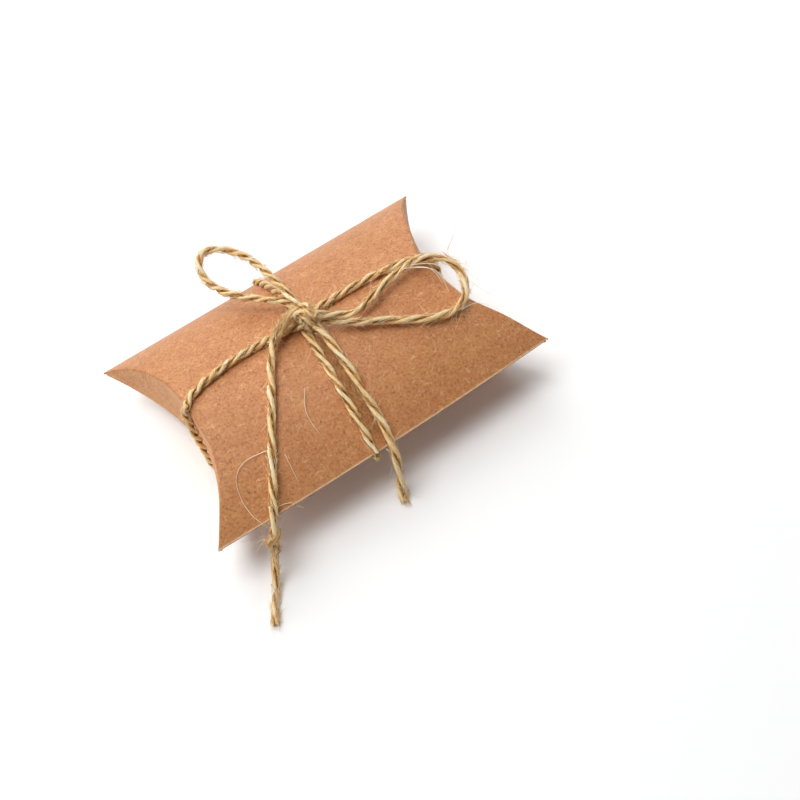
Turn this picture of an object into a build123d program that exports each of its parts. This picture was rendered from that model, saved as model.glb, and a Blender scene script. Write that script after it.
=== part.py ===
"""A kraft card pillow box, tied lengthwise and crosswise with jute twine. Millimetres, +Z up.

The origin is on the floor, under the middle of the box. X runs along the box from its left end to its
right end, Y runs from its front edge to its back edge. The two panels are bowed about X, and meet along
the front and back edges. At each end a curved crease turns a flap inwards, and because the flap stands
square to the floor, the crease goes in from the tips exactly as far as the panel rises above them.
"""

import os
from math import cos, pi, radians, sin, sqrt, tan

from build123d import *

os.makedirs("parts", exist_ok=True)

# The card blank
length = 90.0  # tip to tip, along the box
width = 59.6  # front edge to back edge
height = 22.0  # between the middle layers of the two panels
card = 0.45  # thickness of the board
crease_gap = 0.1  # room at a crease between the two faces that it joins
flap_gap = 0.15  # room between an outer flap and the inner flap behind it
tip_gap = 1.2  # the flaps stop this far short of the tips
inner_flap_rise = 2.2  # crown of an inner flap's free edge, above the level of the tips

# The glued seam along the front edge
tab_width = 10.0  # from the front edge inwards
tab_length = 74.0  # along the front edge
tab_taper = 7.0  # its slanted ends come in by this much
glue = 0.1  # thickness of the glue line
seam_gap = 0.02  # room on each side of the glue line

# The twine
twine = 1.8  # diameter
twine_gap = 0.1  # room between the twine and the card
strand_half_gap = 0.9  # from the middle of the knot, or of the lower crossing, to each strand beside it
rest_flat = 0.18  # the twine under the box is pressed flat by this much
turn_lead = 1.4  # the strand over an end reaches this far back along the panels
crossing_reach = 7.0  # length of the lower crossing's arms towards the ends
crossing_side_reach = 3.2  # and of its arms towards the edges
crossing_radius = 2.2  # bend of the two strands that hook each other there
tie_y = 0.6  # the knot and the lower crossing lie this far behind the middle
front_slant = 8.6  # degrees that the front strand leans to the left
back_slant = 4.5  # degrees that the back strand leans to the left
left_end_y = -2.0  # where the twine passes over the left end
right_end_y = -0.3  # where it passes over the right end

# The bow
knot_radius = 3.5  # in plan
knot_half_height = 3.1
knot_level = 3.2  # middle of the knot, above the top of the card
knot_foot_radius = 2.4  # where the strands cross inside the knot
wrap_depth = 0.7  # the turn of twine over the knot is pressed into it by this much
wrap_angle = 35.0  # degrees between that turn and the X axis
wrap_tuck_angle = 40.0  # degrees that its ends go on under the middle of the knot
stopper_radius = 1.75  # the knot near the end of the left tail
stopper_half_length = 2.9
stopper_run_index = 9  # it is tied on the run after this point of the tail's route
stopper_share = 0.8  # this far along that run
cord_run_share = 0.45  # share of the shorter run that an arc of a free cord takes

# The free cords, as points of their routes, chosen by hand above the floor
loop_left_points = [
    (-0.3, 2.6, 28.9),
    (-0.9, 8.3, 30.6),
    (-0.8, 14.9, 31.2),
    (-1.0, 21.2, 31.6),
    (-3.2, 26.4, 31.7),
    (-7.0, 29.6, 31.5),
    (-10.9, 30.9, 30.8),
    (-13.4, 29.0, 29.8),
    (-14.0, 24.8, 29.1),
    (-12.5, 20.4, 28.7),
    (-9.9, 16.2, 28.4),
    (-7.2, 12.2, 28.3),
    (-4.0, 9.2, 28.0),
    (-0.5, 6.4, 27.6),
    (0.3, 2.7, 26.9),
]
loop_right_points = [
    (1.5, -0.9, 29.1),
    (5.1, -4.5, 28.7),
    (9.3, -6.7, 28.1),
    (13.7, -5.9, 28.0),
    (18.7, -4.0, 28.1),
    (23.7, -2.3, 28.2),
    (28.4, -1.3, 28.2),
    (32.4, -2.7, 28.3),
    (35.0, -6.3, 28.3),
    (35.5, -11.5, 28.0),
    (33.3, -16.6, 27.6),
    (29.0, -18.8, 27.2),
    (24.0, -18.0, 26.9),
    (18.4, -14.8, 26.9),
    (12.6, -10.9, 27.1),
    (7.0, -7.0, 26.9),
    (2.1, -1.2, 27.0),
]
tail_left_points = [
    (-1.6, 0.5, 27.3),
    (-5.3, 0.8, 27.4),
    (-9.1, -0.9, 27.2),
    (-12.3, -4.0, 26.0),
    (-15.1, -7.8, 24.9),
    (-18.2, -12.7, 23.7),
    (-21.5, -17.8, 21.9),
    (-24.9, -23.1, 19.6),
    (-28.4, -28.3, 17.0),
    (-31.8, -32.6, 13.6),
    (-34.0, -34.9, 9.2),
    (-35.9, -36.7, 5.0),
    (-38.3, -39.3, 1.8),
    (-40.8, -42.8, 0.95),
    (-43.4, -47.2, 0.96),
]
tail_right_points = [
    (0.5, -1.3, 27.1),
    (1.5, -5.5, 26.2),
    (2.2, -10.0, 25.0),
    (2.3, -15.0, 23.7),
    (1.9, -20.2, 21.8),
    (1.3, -25.3, 19.2),
    (0.8, -30.0, 16.1),
    (0.0, -33.2, 12.2),
    (-0.9, -34.6, 7.9),
    (-1.9, -35.9, 3.9),
    (-3.0, -37.8, 1.4),
    (-4.1, -40.2, 0.95),
]

# Worked out from the sizes above
half_turn = 180.0  # degrees
bulge = height / 2
curve_radius = (width**2 / 4 + bulge**2) / (2 * bulge)
arc_drop = curve_radius - bulge  # from the level of the tips to a panel's axis
end_centre = length / 2 + arc_drop  # of the end curve, along X from the middle of the box
end_x = length / 2 - bulge  # the deepest point of the end crease
skin_radius = curve_radius + card / 2
edge_y = sqrt(skin_radius**2 - arc_drop**2)  # the outermost line of the front and back edges
tip_level = bulge + card / 2 + twine_gap + twine - rest_flat
card_top = tip_level + bulge + card / 2
card_bottom = tip_level - bulge - card / 2
hug = twine_gap + twine / 2  # from the card's skin to the middle of the twine
knot_z = card_top + knot_level

section_plane = Plane(origin=(-length / 2, 0, tip_level), x_dir=(0, 1, 0), z_dir=(1, 0, 0))
plan_plane = Plane.XY.offset(tip_level - height)


def panel_shell(side, end_offset):
    """One bowed panel, side is 1 for the top and -1 for the bottom. Its ends stop end_offset inside
    the end curve."""
    with BuildPart() as panel:
        with BuildSketch(section_plane):
            with Locations((0, -side * arc_drop)):
                Circle(skin_radius)
                Circle(curve_radius - card / 2, mode=Mode.SUBTRACT)
            with Locations((0, side * bulge)):
                Rectangle(2 * width, height, mode=Mode.INTERSECT)
        extrude(amount=length)
        with BuildSketch(plan_plane):
            with Locations((end_centre, 0), (-end_centre, 0)):
                Circle(curve_radius + end_offset)
        extrude(amount=2 * height, mode=Mode.SUBTRACT)
    return panel


def end_flap(end, near_offset, upper_radius, upper_drop):
    """A wall of card that stands on the end curve. end is 1 for the right end and -1 for the left one,
    near_offset is how far its outer face lies inside the curve, and its upper edge is an arc."""
    with BuildPart() as flap:
        with BuildSketch(plan_plane):
            with Locations((end * end_centre, 0)):
                Circle(curve_radius + near_offset + card)
                Circle(curve_radius + near_offset, mode=Mode.SUBTRACT)
            Rectangle(length, width - 2 * tip_gap, mode=Mode.INTERSECT)
        extrude(amount=2 * height)
        with BuildSketch(section_plane):
            with Locations((0, -upper_drop)):
                Circle(upper_radius)
            with Locations((0, arc_drop)):
                Circle(skin_radius, mode=Mode.INTERSECT)
        extrude(amount=length, mode=Mode.INTERSECT)
    return flap


def corner_radii(points):
    """The radius of each arc of a route: a share of the shorter run over the tangent of half the turn."""
    spots = [Vector(*point) for point in points]
    radii = []
    for before, corner, after in zip(spots, spots[1:], spots[2:]):
        arriving = corner - before
        leaving = after - corner
        turn = radians(arriving.get_angle(leaving))
        shorter_run = min(arriving.length, leaving.length)
        radii.append(cord_run_share * shorter_run / tan(turn / 2))
    return radii


# The panels, the glued tab and its glue line
top_panel = panel_shell(1, card / 2 + crease_gap)
top_panel.part.label = "top_panel"
bottom_panel = panel_shell(-1, 3 * card / 2 + flap_gap + crease_gap)
bottom_panel.part.label = "bottom_panel"


def seam_layer(outer_radius, thickness):
    """A strip under the top panel's front edge, with slanted ends."""
    with BuildPart() as layer:
        with BuildSketch(section_plane):
            with Locations((0, -arc_drop)):
                Circle(outer_radius)
                Circle(outer_radius - thickness, mode=Mode.SUBTRACT)
            with Locations((-width / 2, bulge)):
                Rectangle(2 * tab_width, height, mode=Mode.INTERSECT)
        extrude(amount=length)
        with BuildSketch(plan_plane):
            with BuildLine():
                Polyline(
                    (-tab_length / 2, -width / 2),
                    (tab_length / 2, -width / 2),
                    (tab_length / 2 - tab_taper, tab_width - width / 2),
                    (tab_taper - tab_length / 2, tab_width - width / 2),
                    close=True,
                )
            make_face()
        extrude(amount=2 * height, mode=Mode.INTERSECT)
    return layer


glue_radius = curve_radius - card / 2 - seam_gap
glue_line = seam_layer(glue_radius, glue)
glue_line.part.label = "glue_line"
glue_tab = seam_layer(glue_radius - glue - seam_gap, card)
glue_tab.part.label = "glue_tab"

# The four flaps: an outer one on the top panel and an inner one on the bottom panel, at each end
inner_edge_radius = (width**2 / 4 + inner_flap_rise**2) / (2 * inner_flap_rise)
inner_edge_drop = inner_edge_radius - inner_flap_rise
outer_flap_right = end_flap(1, -card / 2, skin_radius, arc_drop)
outer_flap_right.part.label = "outer_flap_right"
outer_flap_left = end_flap(-1, -card / 2, skin_radius, arc_drop)
outer_flap_left.part.label = "outer_flap_left"
inner_flap_right = end_flap(1, card / 2 + flap_gap, inner_edge_radius, inner_edge_drop)
inner_flap_right.part.label = "inner_flap_right"
inner_flap_left = end_flap(-1, card / 2 + flap_gap, inner_edge_radius, inner_edge_drop)
inner_flap_left.part.label = "inner_flap_left"


# The bow's knot: a rounded lump on the foot where the strands cross, with a turn of twine over it
with BuildPart() as bow_knot:
    with BuildSketch(Plane.XY.offset(card_top + twine_gap / 2)):
        with Locations((0, tie_y)):
            Circle(knot_foot_radius)
    extrude(amount=knot_level)
    with BuildSketch(Plane(origin=(0, tie_y, knot_z), x_dir=(1, 0, 0), z_dir=(0, -1, 0))):
        with BuildLine():
            EllipticalCenterArc((0, 0), knot_radius, knot_half_height, -half_turn / 2, arc_size=half_turn)
            Line((0, knot_half_height), (0, -knot_half_height))
        make_face()
    revolve(axis=Axis((0, tie_y, 0), (0, 0, 1)))
    wrap_radius = knot_half_height + twine / 2 - wrap_depth
    wrap_direction = (cos(radians(wrap_angle)), sin(radians(wrap_angle)), 0)
    wrap_side = (sin(radians(wrap_angle)), -cos(radians(wrap_angle)), 0)
    with BuildLine(Plane(origin=(0, tie_y, knot_z), x_dir=wrap_direction, z_dir=wrap_side)) as wrap_path:
        CenterArc((0, 0), wrap_radius, -wrap_tuck_angle, half_turn + 2 * wrap_tuck_angle)
    with BuildSketch(Plane(origin=wrap_path.line @ 0, z_dir=wrap_path.line % 0)):
        Circle(twine / 2)
    sweep(path=wrap_path.line)
bow_knot.part.label = "bow_knot"

# The space that the knot takes up for the strands: the knot itself, and all that is under its foot
with BuildPart() as knot_space:
    with BuildSketch(Plane.XY.offset(tip_level)):
        with Locations((0, tie_y)):
            Circle(knot_foot_radius)
    extrude(amount=knot_z - tip_level)
    add(bow_knot.part)


def straight_strand(left_end, right_end):
    """A straight strand of twine from left to right, trimmed square to X at both ends."""
    way = (right_end - left_end).normalized()
    with BuildPart() as strand:
        with BuildSketch(Plane(origin=left_end - way * twine, z_dir=way)):
            Circle(twine / 2)
        extrude(amount=(right_end - left_end).length + 2 * twine)
        split(bisect_by=Plane(origin=left_end, z_dir=(1, 0, 0)), keep=Keep.TOP)
        split(bisect_by=Plane(origin=right_end, z_dir=(1, 0, 0)), keep=Keep.BOTTOM)
    return strand


# The lengthwise strands on the top panel, from the knot to the lead of each end strand
over_level = card_top + hug
knot_spot = Vector(0, tie_y, over_level)
with BuildPart() as twine_top_left:
    add(straight_strand(Vector(turn_lead - end_x, left_end_y, over_level), knot_spot).part)
    add(knot_space.part, mode=Mode.SUBTRACT)
twine_top_left.part.label = "twine_top_left"
with BuildPart() as twine_top_right:
    add(straight_strand(knot_spot, Vector(end_x - turn_lead, right_end_y, over_level)).part)
    add(knot_space.part, mode=Mode.SUBTRACT)
twine_top_right.part.label = "twine_top_right"


def end_strand(end, end_y):
    """The strand over an end: round the top crease, down the outer flap and round the bottom crease."""
    inner_x = end * (end_x - turn_lead)
    outer_x = end * (end_x + card / 2 + hug)
    with BuildPart() as strand:
        with BuildLine() as route:
            FilletPolyline(
                (inner_x, end_y, card_top + hug),
                (outer_x, end_y, card_top + hug),
                (outer_x, end_y, card_bottom - hug),
                (inner_x, end_y, card_bottom - hug),
                radius=hug,
            )
        with BuildSketch(Plane(origin=route.line @ 0, z_dir=route.line % 0)):
            Circle(twine / 2)
        sweep()
        split(bisect_by=Plane.XY, keep=Keep.TOP)
    return strand


twine_end_left = end_strand(-1, left_end_y)
twine_end_left.part.label = "twine_end_left"
twine_end_right = end_strand(1, right_end_y)
twine_end_right.part.label = "twine_end_right"

# The lower crossing: two strands that come from the ends, hook each other and leave for the edges
under_level = card_bottom - hug
front_way = Vector(-sin(radians(front_slant)), -cos(radians(front_slant)), 0)
back_way = Vector(-sin(radians(back_slant)), cos(radians(back_slant)), 0)


def hook_stations(end, way):
    """Route of one bend of the crossing: from an end, round the corner, and away to an edge."""
    corner = Vector(-end * strand_half_gap, tie_y - end * strand_half_gap, under_level)
    arrival = corner + Vector(end * crossing_reach, 0, 0)
    departure = corner + way * crossing_side_reach
    return [tuple(arrival), tuple(corner), tuple(departure)]


with BuildPart() as twine_crossing:
    for hook_end, hook_way in ((-1, front_way), (1, back_way)):
        with BuildLine() as hook:
            FilletPolyline(*hook_stations(hook_end, hook_way), radius=crossing_radius)
        with BuildSketch(Plane(origin=hook.line @ 0, z_dir=hook.line % 0)):
            Circle(twine / 2)
        sweep(path=hook.line)
    split(bisect_by=Plane.XY, keep=Keep.TOP)
twine_crossing.part.label = "twine_crossing"


# The lengthwise strands under the box, from each end strand to the crossing
with BuildPart() as twine_under_left:
    left_start = Vector(turn_lead - end_x, left_end_y, under_level)
    add(straight_strand(left_start, Vector(*hook_stations(-1, front_way)[0])).part)
    split(bisect_by=Plane.XY, keep=Keep.TOP)
twine_under_left.part.label = "twine_under_left"
with BuildPart() as twine_under_right:
    right_start = Vector(end_x - turn_lead, right_end_y, under_level)
    add(straight_strand(Vector(*hook_stations(1, back_way)[0]), right_start).part)
    split(bisect_by=Plane.XY, keep=Keep.TOP)
twine_under_right.part.label = "twine_under_right"


def side_plane(end, way):
    """The upright plane of a crosswise strand: its x runs towards the edge and its y is up."""
    corner = hook_stations(end, way)[1]
    upright_normal = (way.Y, -way.X, 0)
    return Plane(origin=(corner[0], corner[1], tip_level), x_dir=way, z_dir=upright_normal)


def hug_point(end, way, reach):
    """A point of the strand's middle line over a panel, reach out from the knot, in the side plane."""
    across = hook_stations(end, way)[1][1] + reach * way.Y
    return (reach, sqrt((skin_radius + hug) ** 2 - across**2) - arc_drop)


def edge_turn(end, way):
    """Where the turn round the card's edge starts, and its outermost point, in the side plane."""
    start_y = edge_y * (1 + hug / skin_radius)
    start_height = arc_drop * hug / skin_radius
    corner_y = hook_stations(end, way)[1][1]
    outwards = 1 if way.Y > 0 else -1
    start_reach = (outwards * start_y - corner_y) / way.Y
    outer_reach = (outwards * (edge_y + hug) - corner_y) / way.Y
    return (start_reach, start_height), (outer_reach, 0)


def crosswise_strands(end, way):
    """A crosswise strand in two stretches: over the top panel and round the edge, then under the box."""
    plane = side_plane(end, way)
    turn_start, turn_middle = edge_turn(end, way)
    turn_end = (turn_start[0], -turn_start[1])
    top_start = hug_point(end, way, 0)
    top_middle = hug_point(end, way, turn_start[0] / 2)
    under_start_reach = crossing_side_reach + twine_gap
    under_end = hug_point(end, way, under_start_reach)
    under_middle = hug_point(end, way, (turn_start[0] + under_start_reach) / 2)
    with BuildPart() as over:
        with BuildLine(plane) as over_path:
            ThreePointArc(top_start, top_middle, turn_start)
            ThreePointArc(turn_start, turn_middle, turn_end)
        with BuildSketch(Plane(origin=over_path.line @ 0, z_dir=over_path.line % 0)):
            Circle(twine / 2)
        sweep(path=over_path.line)
        add(knot_space.part, mode=Mode.SUBTRACT)
    with BuildPart() as under:
        with BuildLine(plane) as under_path:
            ThreePointArc(turn_end, (under_middle[0], -under_middle[1]), (under_end[0], -under_end[1]))
        with BuildSketch(Plane(origin=under_path.line @ 0, z_dir=under_path.line % 0)):
            Circle(twine / 2)
        sweep(path=under_path.line)
        split(bisect_by=Plane.XY, keep=Keep.TOP)
    return over, under


twine_front, twine_under_front = crosswise_strands(-1, front_way)
twine_front.part.label = "twine_front"
twine_under_front.part.label = "twine_under_front"
twine_back, twine_under_back = crosswise_strands(1, back_way)
twine_back.part.label = "twine_back"
twine_under_back.part.label = "twine_under_back"


def free_cord(label, points):
    """A free stretch of twine that leaves the bow's knot: straight runs joined by tangent arcs. Prints
    the arcs' radii, and the tube's volume beside its section times its length."""
    radii = corner_radii(points)
    with BuildPart() as cord:
        with BuildLine() as route:
            FilletPolyline(*points, radius=radii)
        with BuildSketch(Plane(origin=route.line @ 0, z_dir=route.line % 0)):
            Circle(twine / 2)
        sweep()
        cord_length = route.wires()[0].length
        tube_volume = pi * twine**2 / 4 * cord_length
        print(label, "length", round(cord_length, 1), "radii", [round(radius, 1) for radius in radii])
        print("  volume", round(cord.part.volume, 2), "section times length", round(tube_volume, 2))
        add(bow_knot.part, mode=Mode.SUBTRACT)
    cord.part.label = label
    return cord


bow_loop_left = free_cord("bow_loop_left", loop_left_points)
bow_loop_right = free_cord("bow_loop_right", loop_right_points)
tail_left = free_cord("tail_left", tail_left_points)
tail_right = free_cord("tail_right", tail_right_points)

# The overhand knot that keeps the left tail from fraying, with the tail through its middle
run_start = Vector(*tail_left_points[stopper_run_index])
run_end = Vector(*tail_left_points[stopper_run_index + 1])
stopper_way = (run_end - run_start).normalized()
stopper_side = stopper_way.cross(Vector(0, 0, 1)).normalized()
stopper_centre = run_start + (run_end - run_start) * stopper_share
stopper_plane = Plane(origin=stopper_centre, x_dir=stopper_side, z_dir=stopper_side.cross(stopper_way))
with BuildPart() as tail_knot:
    with BuildSketch(stopper_plane):
        with BuildLine():
            EllipticalCenterArc(
                (0, 0), stopper_radius, stopper_half_length, -half_turn / 2, arc_size=half_turn
            )
            Line((0, stopper_half_length), (0, -stopper_half_length))
        make_face()
    revolve(axis=Axis(stopper_centre, stopper_way))
    add(tail_left.part, mode=Mode.SUBTRACT)
tail_knot.part.label = "tail_knot"

pieces = [
    top_panel,
    bottom_panel,
    glue_line,
    glue_tab,
    outer_flap_left,
    outer_flap_right,
    inner_flap_left,
    inner_flap_right,
    twine_top_left,
    twine_top_right,
    twine_end_left,
    twine_end_right,
    twine_under_left,
    twine_under_right,
    twine_front,
    twine_back,
    twine_under_front,
    twine_under_back,
    twine_crossing,
    bow_knot,
    bow_loop_left,
    bow_loop_right,
    tail_left,
    tail_right,
    tail_knot,
]
for piece in pieces:
    export_step(piece.part, f"parts/{piece.part.label}.step")

print("tips", round(tip_level, 3), "card top", round(card_top, 3), "card bottom", round(card_bottom, 3))
print("outer hinges at x", round(end_x, 3), "inner hinges at x", round(end_x - card - flap_gap, 3))
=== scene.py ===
# %% [markdown]
# # A kraft pillow box, tied with jute twine
# A pillow box is one piece of card, creased along two curved lines at each end. Its two panels bow away
# from each other, and the curved flaps tuck in between them and hold the bow. This one is tied like a
# parcel and closed with a bow. The construction is already fixed: every panel, flap and stretch of twine
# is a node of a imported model, and this file only gives each one the look of the real thing.

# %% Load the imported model
from math import cos, pi, radians, sin, sqrt

import bpy
import numpy as np
from mathutils import Euler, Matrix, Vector


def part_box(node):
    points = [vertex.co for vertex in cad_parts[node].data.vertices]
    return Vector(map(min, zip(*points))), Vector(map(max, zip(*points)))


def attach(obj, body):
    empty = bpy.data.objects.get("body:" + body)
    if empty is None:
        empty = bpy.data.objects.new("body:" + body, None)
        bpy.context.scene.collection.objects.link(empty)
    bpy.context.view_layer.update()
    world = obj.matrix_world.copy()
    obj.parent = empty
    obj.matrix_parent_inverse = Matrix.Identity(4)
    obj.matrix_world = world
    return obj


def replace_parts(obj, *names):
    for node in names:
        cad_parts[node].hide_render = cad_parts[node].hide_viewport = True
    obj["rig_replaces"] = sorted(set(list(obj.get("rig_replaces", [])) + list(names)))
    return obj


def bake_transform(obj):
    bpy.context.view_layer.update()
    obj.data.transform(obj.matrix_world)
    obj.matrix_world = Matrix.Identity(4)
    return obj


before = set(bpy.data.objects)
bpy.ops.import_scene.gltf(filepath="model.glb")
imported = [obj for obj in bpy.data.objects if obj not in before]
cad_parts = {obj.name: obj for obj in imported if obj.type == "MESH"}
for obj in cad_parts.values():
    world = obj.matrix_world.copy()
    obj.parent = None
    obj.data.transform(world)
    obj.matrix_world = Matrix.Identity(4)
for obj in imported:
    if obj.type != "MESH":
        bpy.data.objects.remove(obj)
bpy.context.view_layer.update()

MM = 0.001

# %% [markdown]
# ## Sizes read from the frame
# The skin of each panel is part of a cylinder that lies along X. Its radius follows from how wide the
# panel is and how high it bows. Each end is cut by an upright cylinder of the same curve, which is why the
# card can fold there without stretching. Everything below is worked out from these few numbers.

# %% The card's own curves
panel_low, panel_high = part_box("top_panel")
flap_low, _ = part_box("outer_flap_right")
CARD = 0.45 * MM  # thickness of the board
TIP = panel_low.z  # level of the four tips
RISE = panel_high.z - TIP  # from the tips to the top of the skin
EDGE = panel_high.y  # the front and back edges, if they were sharp
SKIN = (EDGE**2 + RISE**2) / (2 * RISE)  # radius of the bowed skin
DROP = SKIN - RISE  # from the tips down to the axis of that skin
FACE = flap_low.x + CARD  # the outer face of a flap, in the middle of an end
FACE_CURVE = SKIN - CARD  # its radius, seen from above
INNER_STEP = CARD + 0.15 * MM  # from an outer flap's face to the inner flap's face
print("skin radius", round(SKIN / MM, 2), "mm, bow", round(RISE / MM, 2), "mm")


def skin_height(y):
    """Height of the top skin above the tips, at y: a circle of radius SKIN about the point DROP below."""
    return np.sqrt(np.maximum(SKIN**2 - np.square(y), 0)) - DROP


def end_reach(y, step=0.0):
    """How far along X a flap's face is at y: a circle about an upright axis outside the end. step moves
    the face towards the inside of the box."""
    return FACE + FACE_CURVE - np.sqrt((FACE_CURVE + step) ** 2 - np.square(y))


# %% [markdown]
# ## What the twine does to the card
# Nothing on a tied parcel is ideal. The knot presses the upper panel in, the board keeps low waves from
# being folded by hand, and at both ends the tight twine has drawn the creased edge a little towards the
# middle, so that the flap leans out below it. The glued front edge has sprung out a little, most of all
# in its middle. Each of these is a smooth function of the place on the card. They are kept apart from the
# ideal shape, so that every piece that touches the card can use them.

# %% Dents and waves
HOLLOW = 0.55 * MM  # the twine draws the panel in by this much under the knot
HOLLOW_REACH = 9 * MM
WAVE = 0.09 * MM
WAVE_SPACING = (9 * MM, 11 * MM)  # along X and along Y
RIPPLE_SPACING = (5.3 * MM, 8 * MM)
PULL_DEPTH = {-1: 1.6 * MM, 1: 2.6 * MM}  # at the left end and at the right end
PULL_MIDDLE = {-1: -16 * MM, 1: -6 * MM}
PULL_REACH = {-1: 9 * MM, 1: 13 * MM}
PULL_POWER = {-1: 2, 1: 4}  # a round bell, and one with a flat top
PULL_FADE = 2.4 * MM  # how fast it dies away down the flap
TIP_FADE = 2.5 * MM
FRONT_SPRUNG = 1.2 * MM  # the glued edge stands out by this much at the front tips
FRONT_BOW = 0.9 * MM  # and by this much more in its middle


def handled(x, y):
    """How far the upper panel lies below its ideal bow: a hollow under the knot, and long low waves."""
    hollow = HOLLOW * np.exp(-(np.square(x) + np.square(y)) / HOLLOW_REACH**2)
    waves = np.sin(x / WAVE_SPACING[0] + 0.6) * np.sin(y / WAVE_SPACING[1] + 0.4)
    ripples = np.sin(x / RIPPLE_SPACING[0] - y / RIPPLE_SPACING[1])
    fade = np.clip(1 - (np.abs(y) / EDGE) ** 6, 0, 1) * np.clip(1 - (np.abs(x) / FACE) ** 8, 0, 1)
    return (hollow + WAVE * (waves + 0.6 * ripples)) * fade


def widened(x, y):
    """y of a point of the card after the front edge has sprung out: nothing at the middle line, and at the
    edge FRONT_SPRUNG plus a parabola over x, both growing as a power of the way to the edge."""
    at_edge = FRONT_SPRUNG + FRONT_BOW * (1 - np.square(x / panel_high.x))
    return y - at_edge * np.clip(-y / EDGE, 0, 1) ** 2.5


def drawn_in(y, end, below=0.0):
    """How far the crease of an end lies inside its ideal circle: a bell over y that dies away with the
    distance below the crease, and near the tips. end is 1 for the right end and -1 for the left."""
    bell = np.exp(-np.abs((y - PULL_MIDDLE[end]) / PULL_REACH[end]) ** PULL_POWER[end])
    near_tip = 1 - np.exp(-np.maximum(skin_height(y), 0) / TIP_FADE)
    return PULL_DEPTH[end] * bell * near_tip * np.exp(-below / PULL_FADE)


# %% [markdown]
# ## Camera
# The photograph was taken from the front left, looking down at about fifty-five degrees, and turned a
# little, so that the box runs up to the right. The position and the three angles were solved from the four
# tips of the box in the picture. A camera is easiest to fit first, because every later choice is judged
# through it.

# %% Place the camera
EYE = Vector((-46.116, -152.272, 218.818)) * MM
LOOK = Euler((radians(33.527), radians(7.474), radians(-33.825)), "XYZ")


def add_object(name, data):
    """A new object in the scene, round a mesh, a lamp or a camera."""
    made = bpy.data.objects.new(name, data)
    bpy.context.scene.collection.objects.link(made)
    return made


camera = add_object("camera", bpy.data.cameras.new("camera"))
camera.location = EYE
camera.rotation_euler = LOOK
camera.data.lens = 48.31
camera.data.sensor_width = 36.0
camera.data.clip_start = 10 * MM
camera.data.clip_end = 10.0
bpy.context.scene.camera = camera

# %% [markdown]
# ## Writing materials as sums
# A material is a graph of nodes, and a graph is hard to read as text. Here a small class wraps an output
# socket, so that `grain * 0.3 + 0.5` adds the Math nodes by itself. Every other kind of node comes from
# one method, `node`, which takes its type, the output that is wanted, its settings and its inputs.


# %% A socket with arithmetic, and the graph that holds the nodes
def operator(operation, reflected=False):
    """A method of Field that adds a Math node. The reflected form has the field on the right."""

    def method(self, other):
        first, second = (other, self) if reflected else (self, other)
        return self.graph.node("ShaderNodeMath", 0, {"operation": operation}, {0: first, 1: second})

    return method


class Field:
    """One output of a node. Arithmetic on it adds a Math node and returns that node's output."""

    def __init__(self, graph, socket):
        self.graph = graph
        self.socket = socket

    __add__ = operator("ADD")
    __radd__ = operator("ADD", True)
    __sub__ = operator("SUBTRACT")
    __rsub__ = operator("SUBTRACT", True)
    __mul__ = operator("MULTIPLY")
    __rmul__ = operator("MULTIPLY", True)

    def bounded(self):
        """The same number, kept between 0 and 1."""
        settings = {"operation": "ADD", "use_clamp": True}
        return self.graph.node("ShaderNodeMath", 0, settings, {0: self, 1: 0.0})


class Graph:
    """The nodes of a material or of the world."""

    def __init__(self, tree):
        self.tree = tree

    def node(self, kind, output, settings=None, inputs=None):
        """Add a node and return one of its outputs. The setting named stops fills a colour ramp."""
        made = self.tree.nodes.new(kind)
        for key, value in (settings or {}).items():
            if key == "stops":
                self.fill_ramp(made.color_ramp, value)
            else:
                setattr(made, key, value)
        for key, value in (inputs or {}).items():
            self.feed(made.inputs[key], value)
        return Field(self, made.outputs[output])

    def fill_ramp(self, ramp, stops):
        while len(ramp.elements) < len(stops):
            ramp.elements.new(1.0)
        for element, (place, colour) in zip(ramp.elements, stops):
            element.position = place
            element.color = colour

    def feed(self, socket, value):
        if isinstance(value, Field):
            self.tree.links.new(value.socket, socket)
        else:
            socket.default_value = value

    def seen(self):
        """1 for rays from the camera, a reflection or glass, and 0 for all others."""
        kinds = ("Camera", "Glossy", "Transmission")
        rays = [self.node("ShaderNodeLightPath", f"Is {kind} Ray") for kind in kinds]
        return (rays[0] + rays[1] + rays[2]).bounded()


class Recipe(Graph):
    """A material under construction, around one Principled shader."""

    def __init__(self, name):
        self.material = bpy.data.materials.new(name)
        self.material.use_nodes = True
        super().__init__(self.material.node_tree)
        self.shader = self.tree.nodes["Principled BSDF"]

    def shade(self, **values):
        """Sockets of the shader, by their names with underscores for spaces."""
        for name, value in values.items():
            self.feed(self.shader.inputs[name.replace("_", " ")], value)

    def noise(self, scale, detail=2.0, place=None, distortion=0.0, roughness=0.5):
        inputs = {"Scale": scale, "Detail": detail, "Distortion": distortion, "Roughness": roughness}
        if place is not None:
            inputs["Vector"] = place
        return self.node("ShaderNodeTexNoise", "Fac", None, inputs)

    def blend(self, share, first, second):
        """The colour that lies share of the way from first to second."""
        return self.node("ShaderNodeMix", 2, {"data_type": "RGBA"}, {0: share, 6: first, 7: second})

    def ramp(self, value, *stops):
        """A number between two shades of grey, from a ramp with the given places and values."""
        greys = [(place, (grey, grey, grey, 1.0)) for place, grey in stops]
        return self.node("ShaderNodeValToRGB", "Color", {"stops": greys}, {"Fac": value})

    def patches(self, place, scale, low, high, detail=1.0, distortion=0.0):
        """0 where a noise is under low, and 1 where it is over high."""
        return self.ramp(self.noise(scale, detail, place, distortion), (low, 0.0), (high, 1.0))

    def bump(self, height, strength, distance):
        """The normal of a surface with the given relief."""
        inputs = {"Height": height, "Strength": strength, "Distance": distance}
        return self.node("ShaderNodeBump", "Normal", None, inputs)


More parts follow.
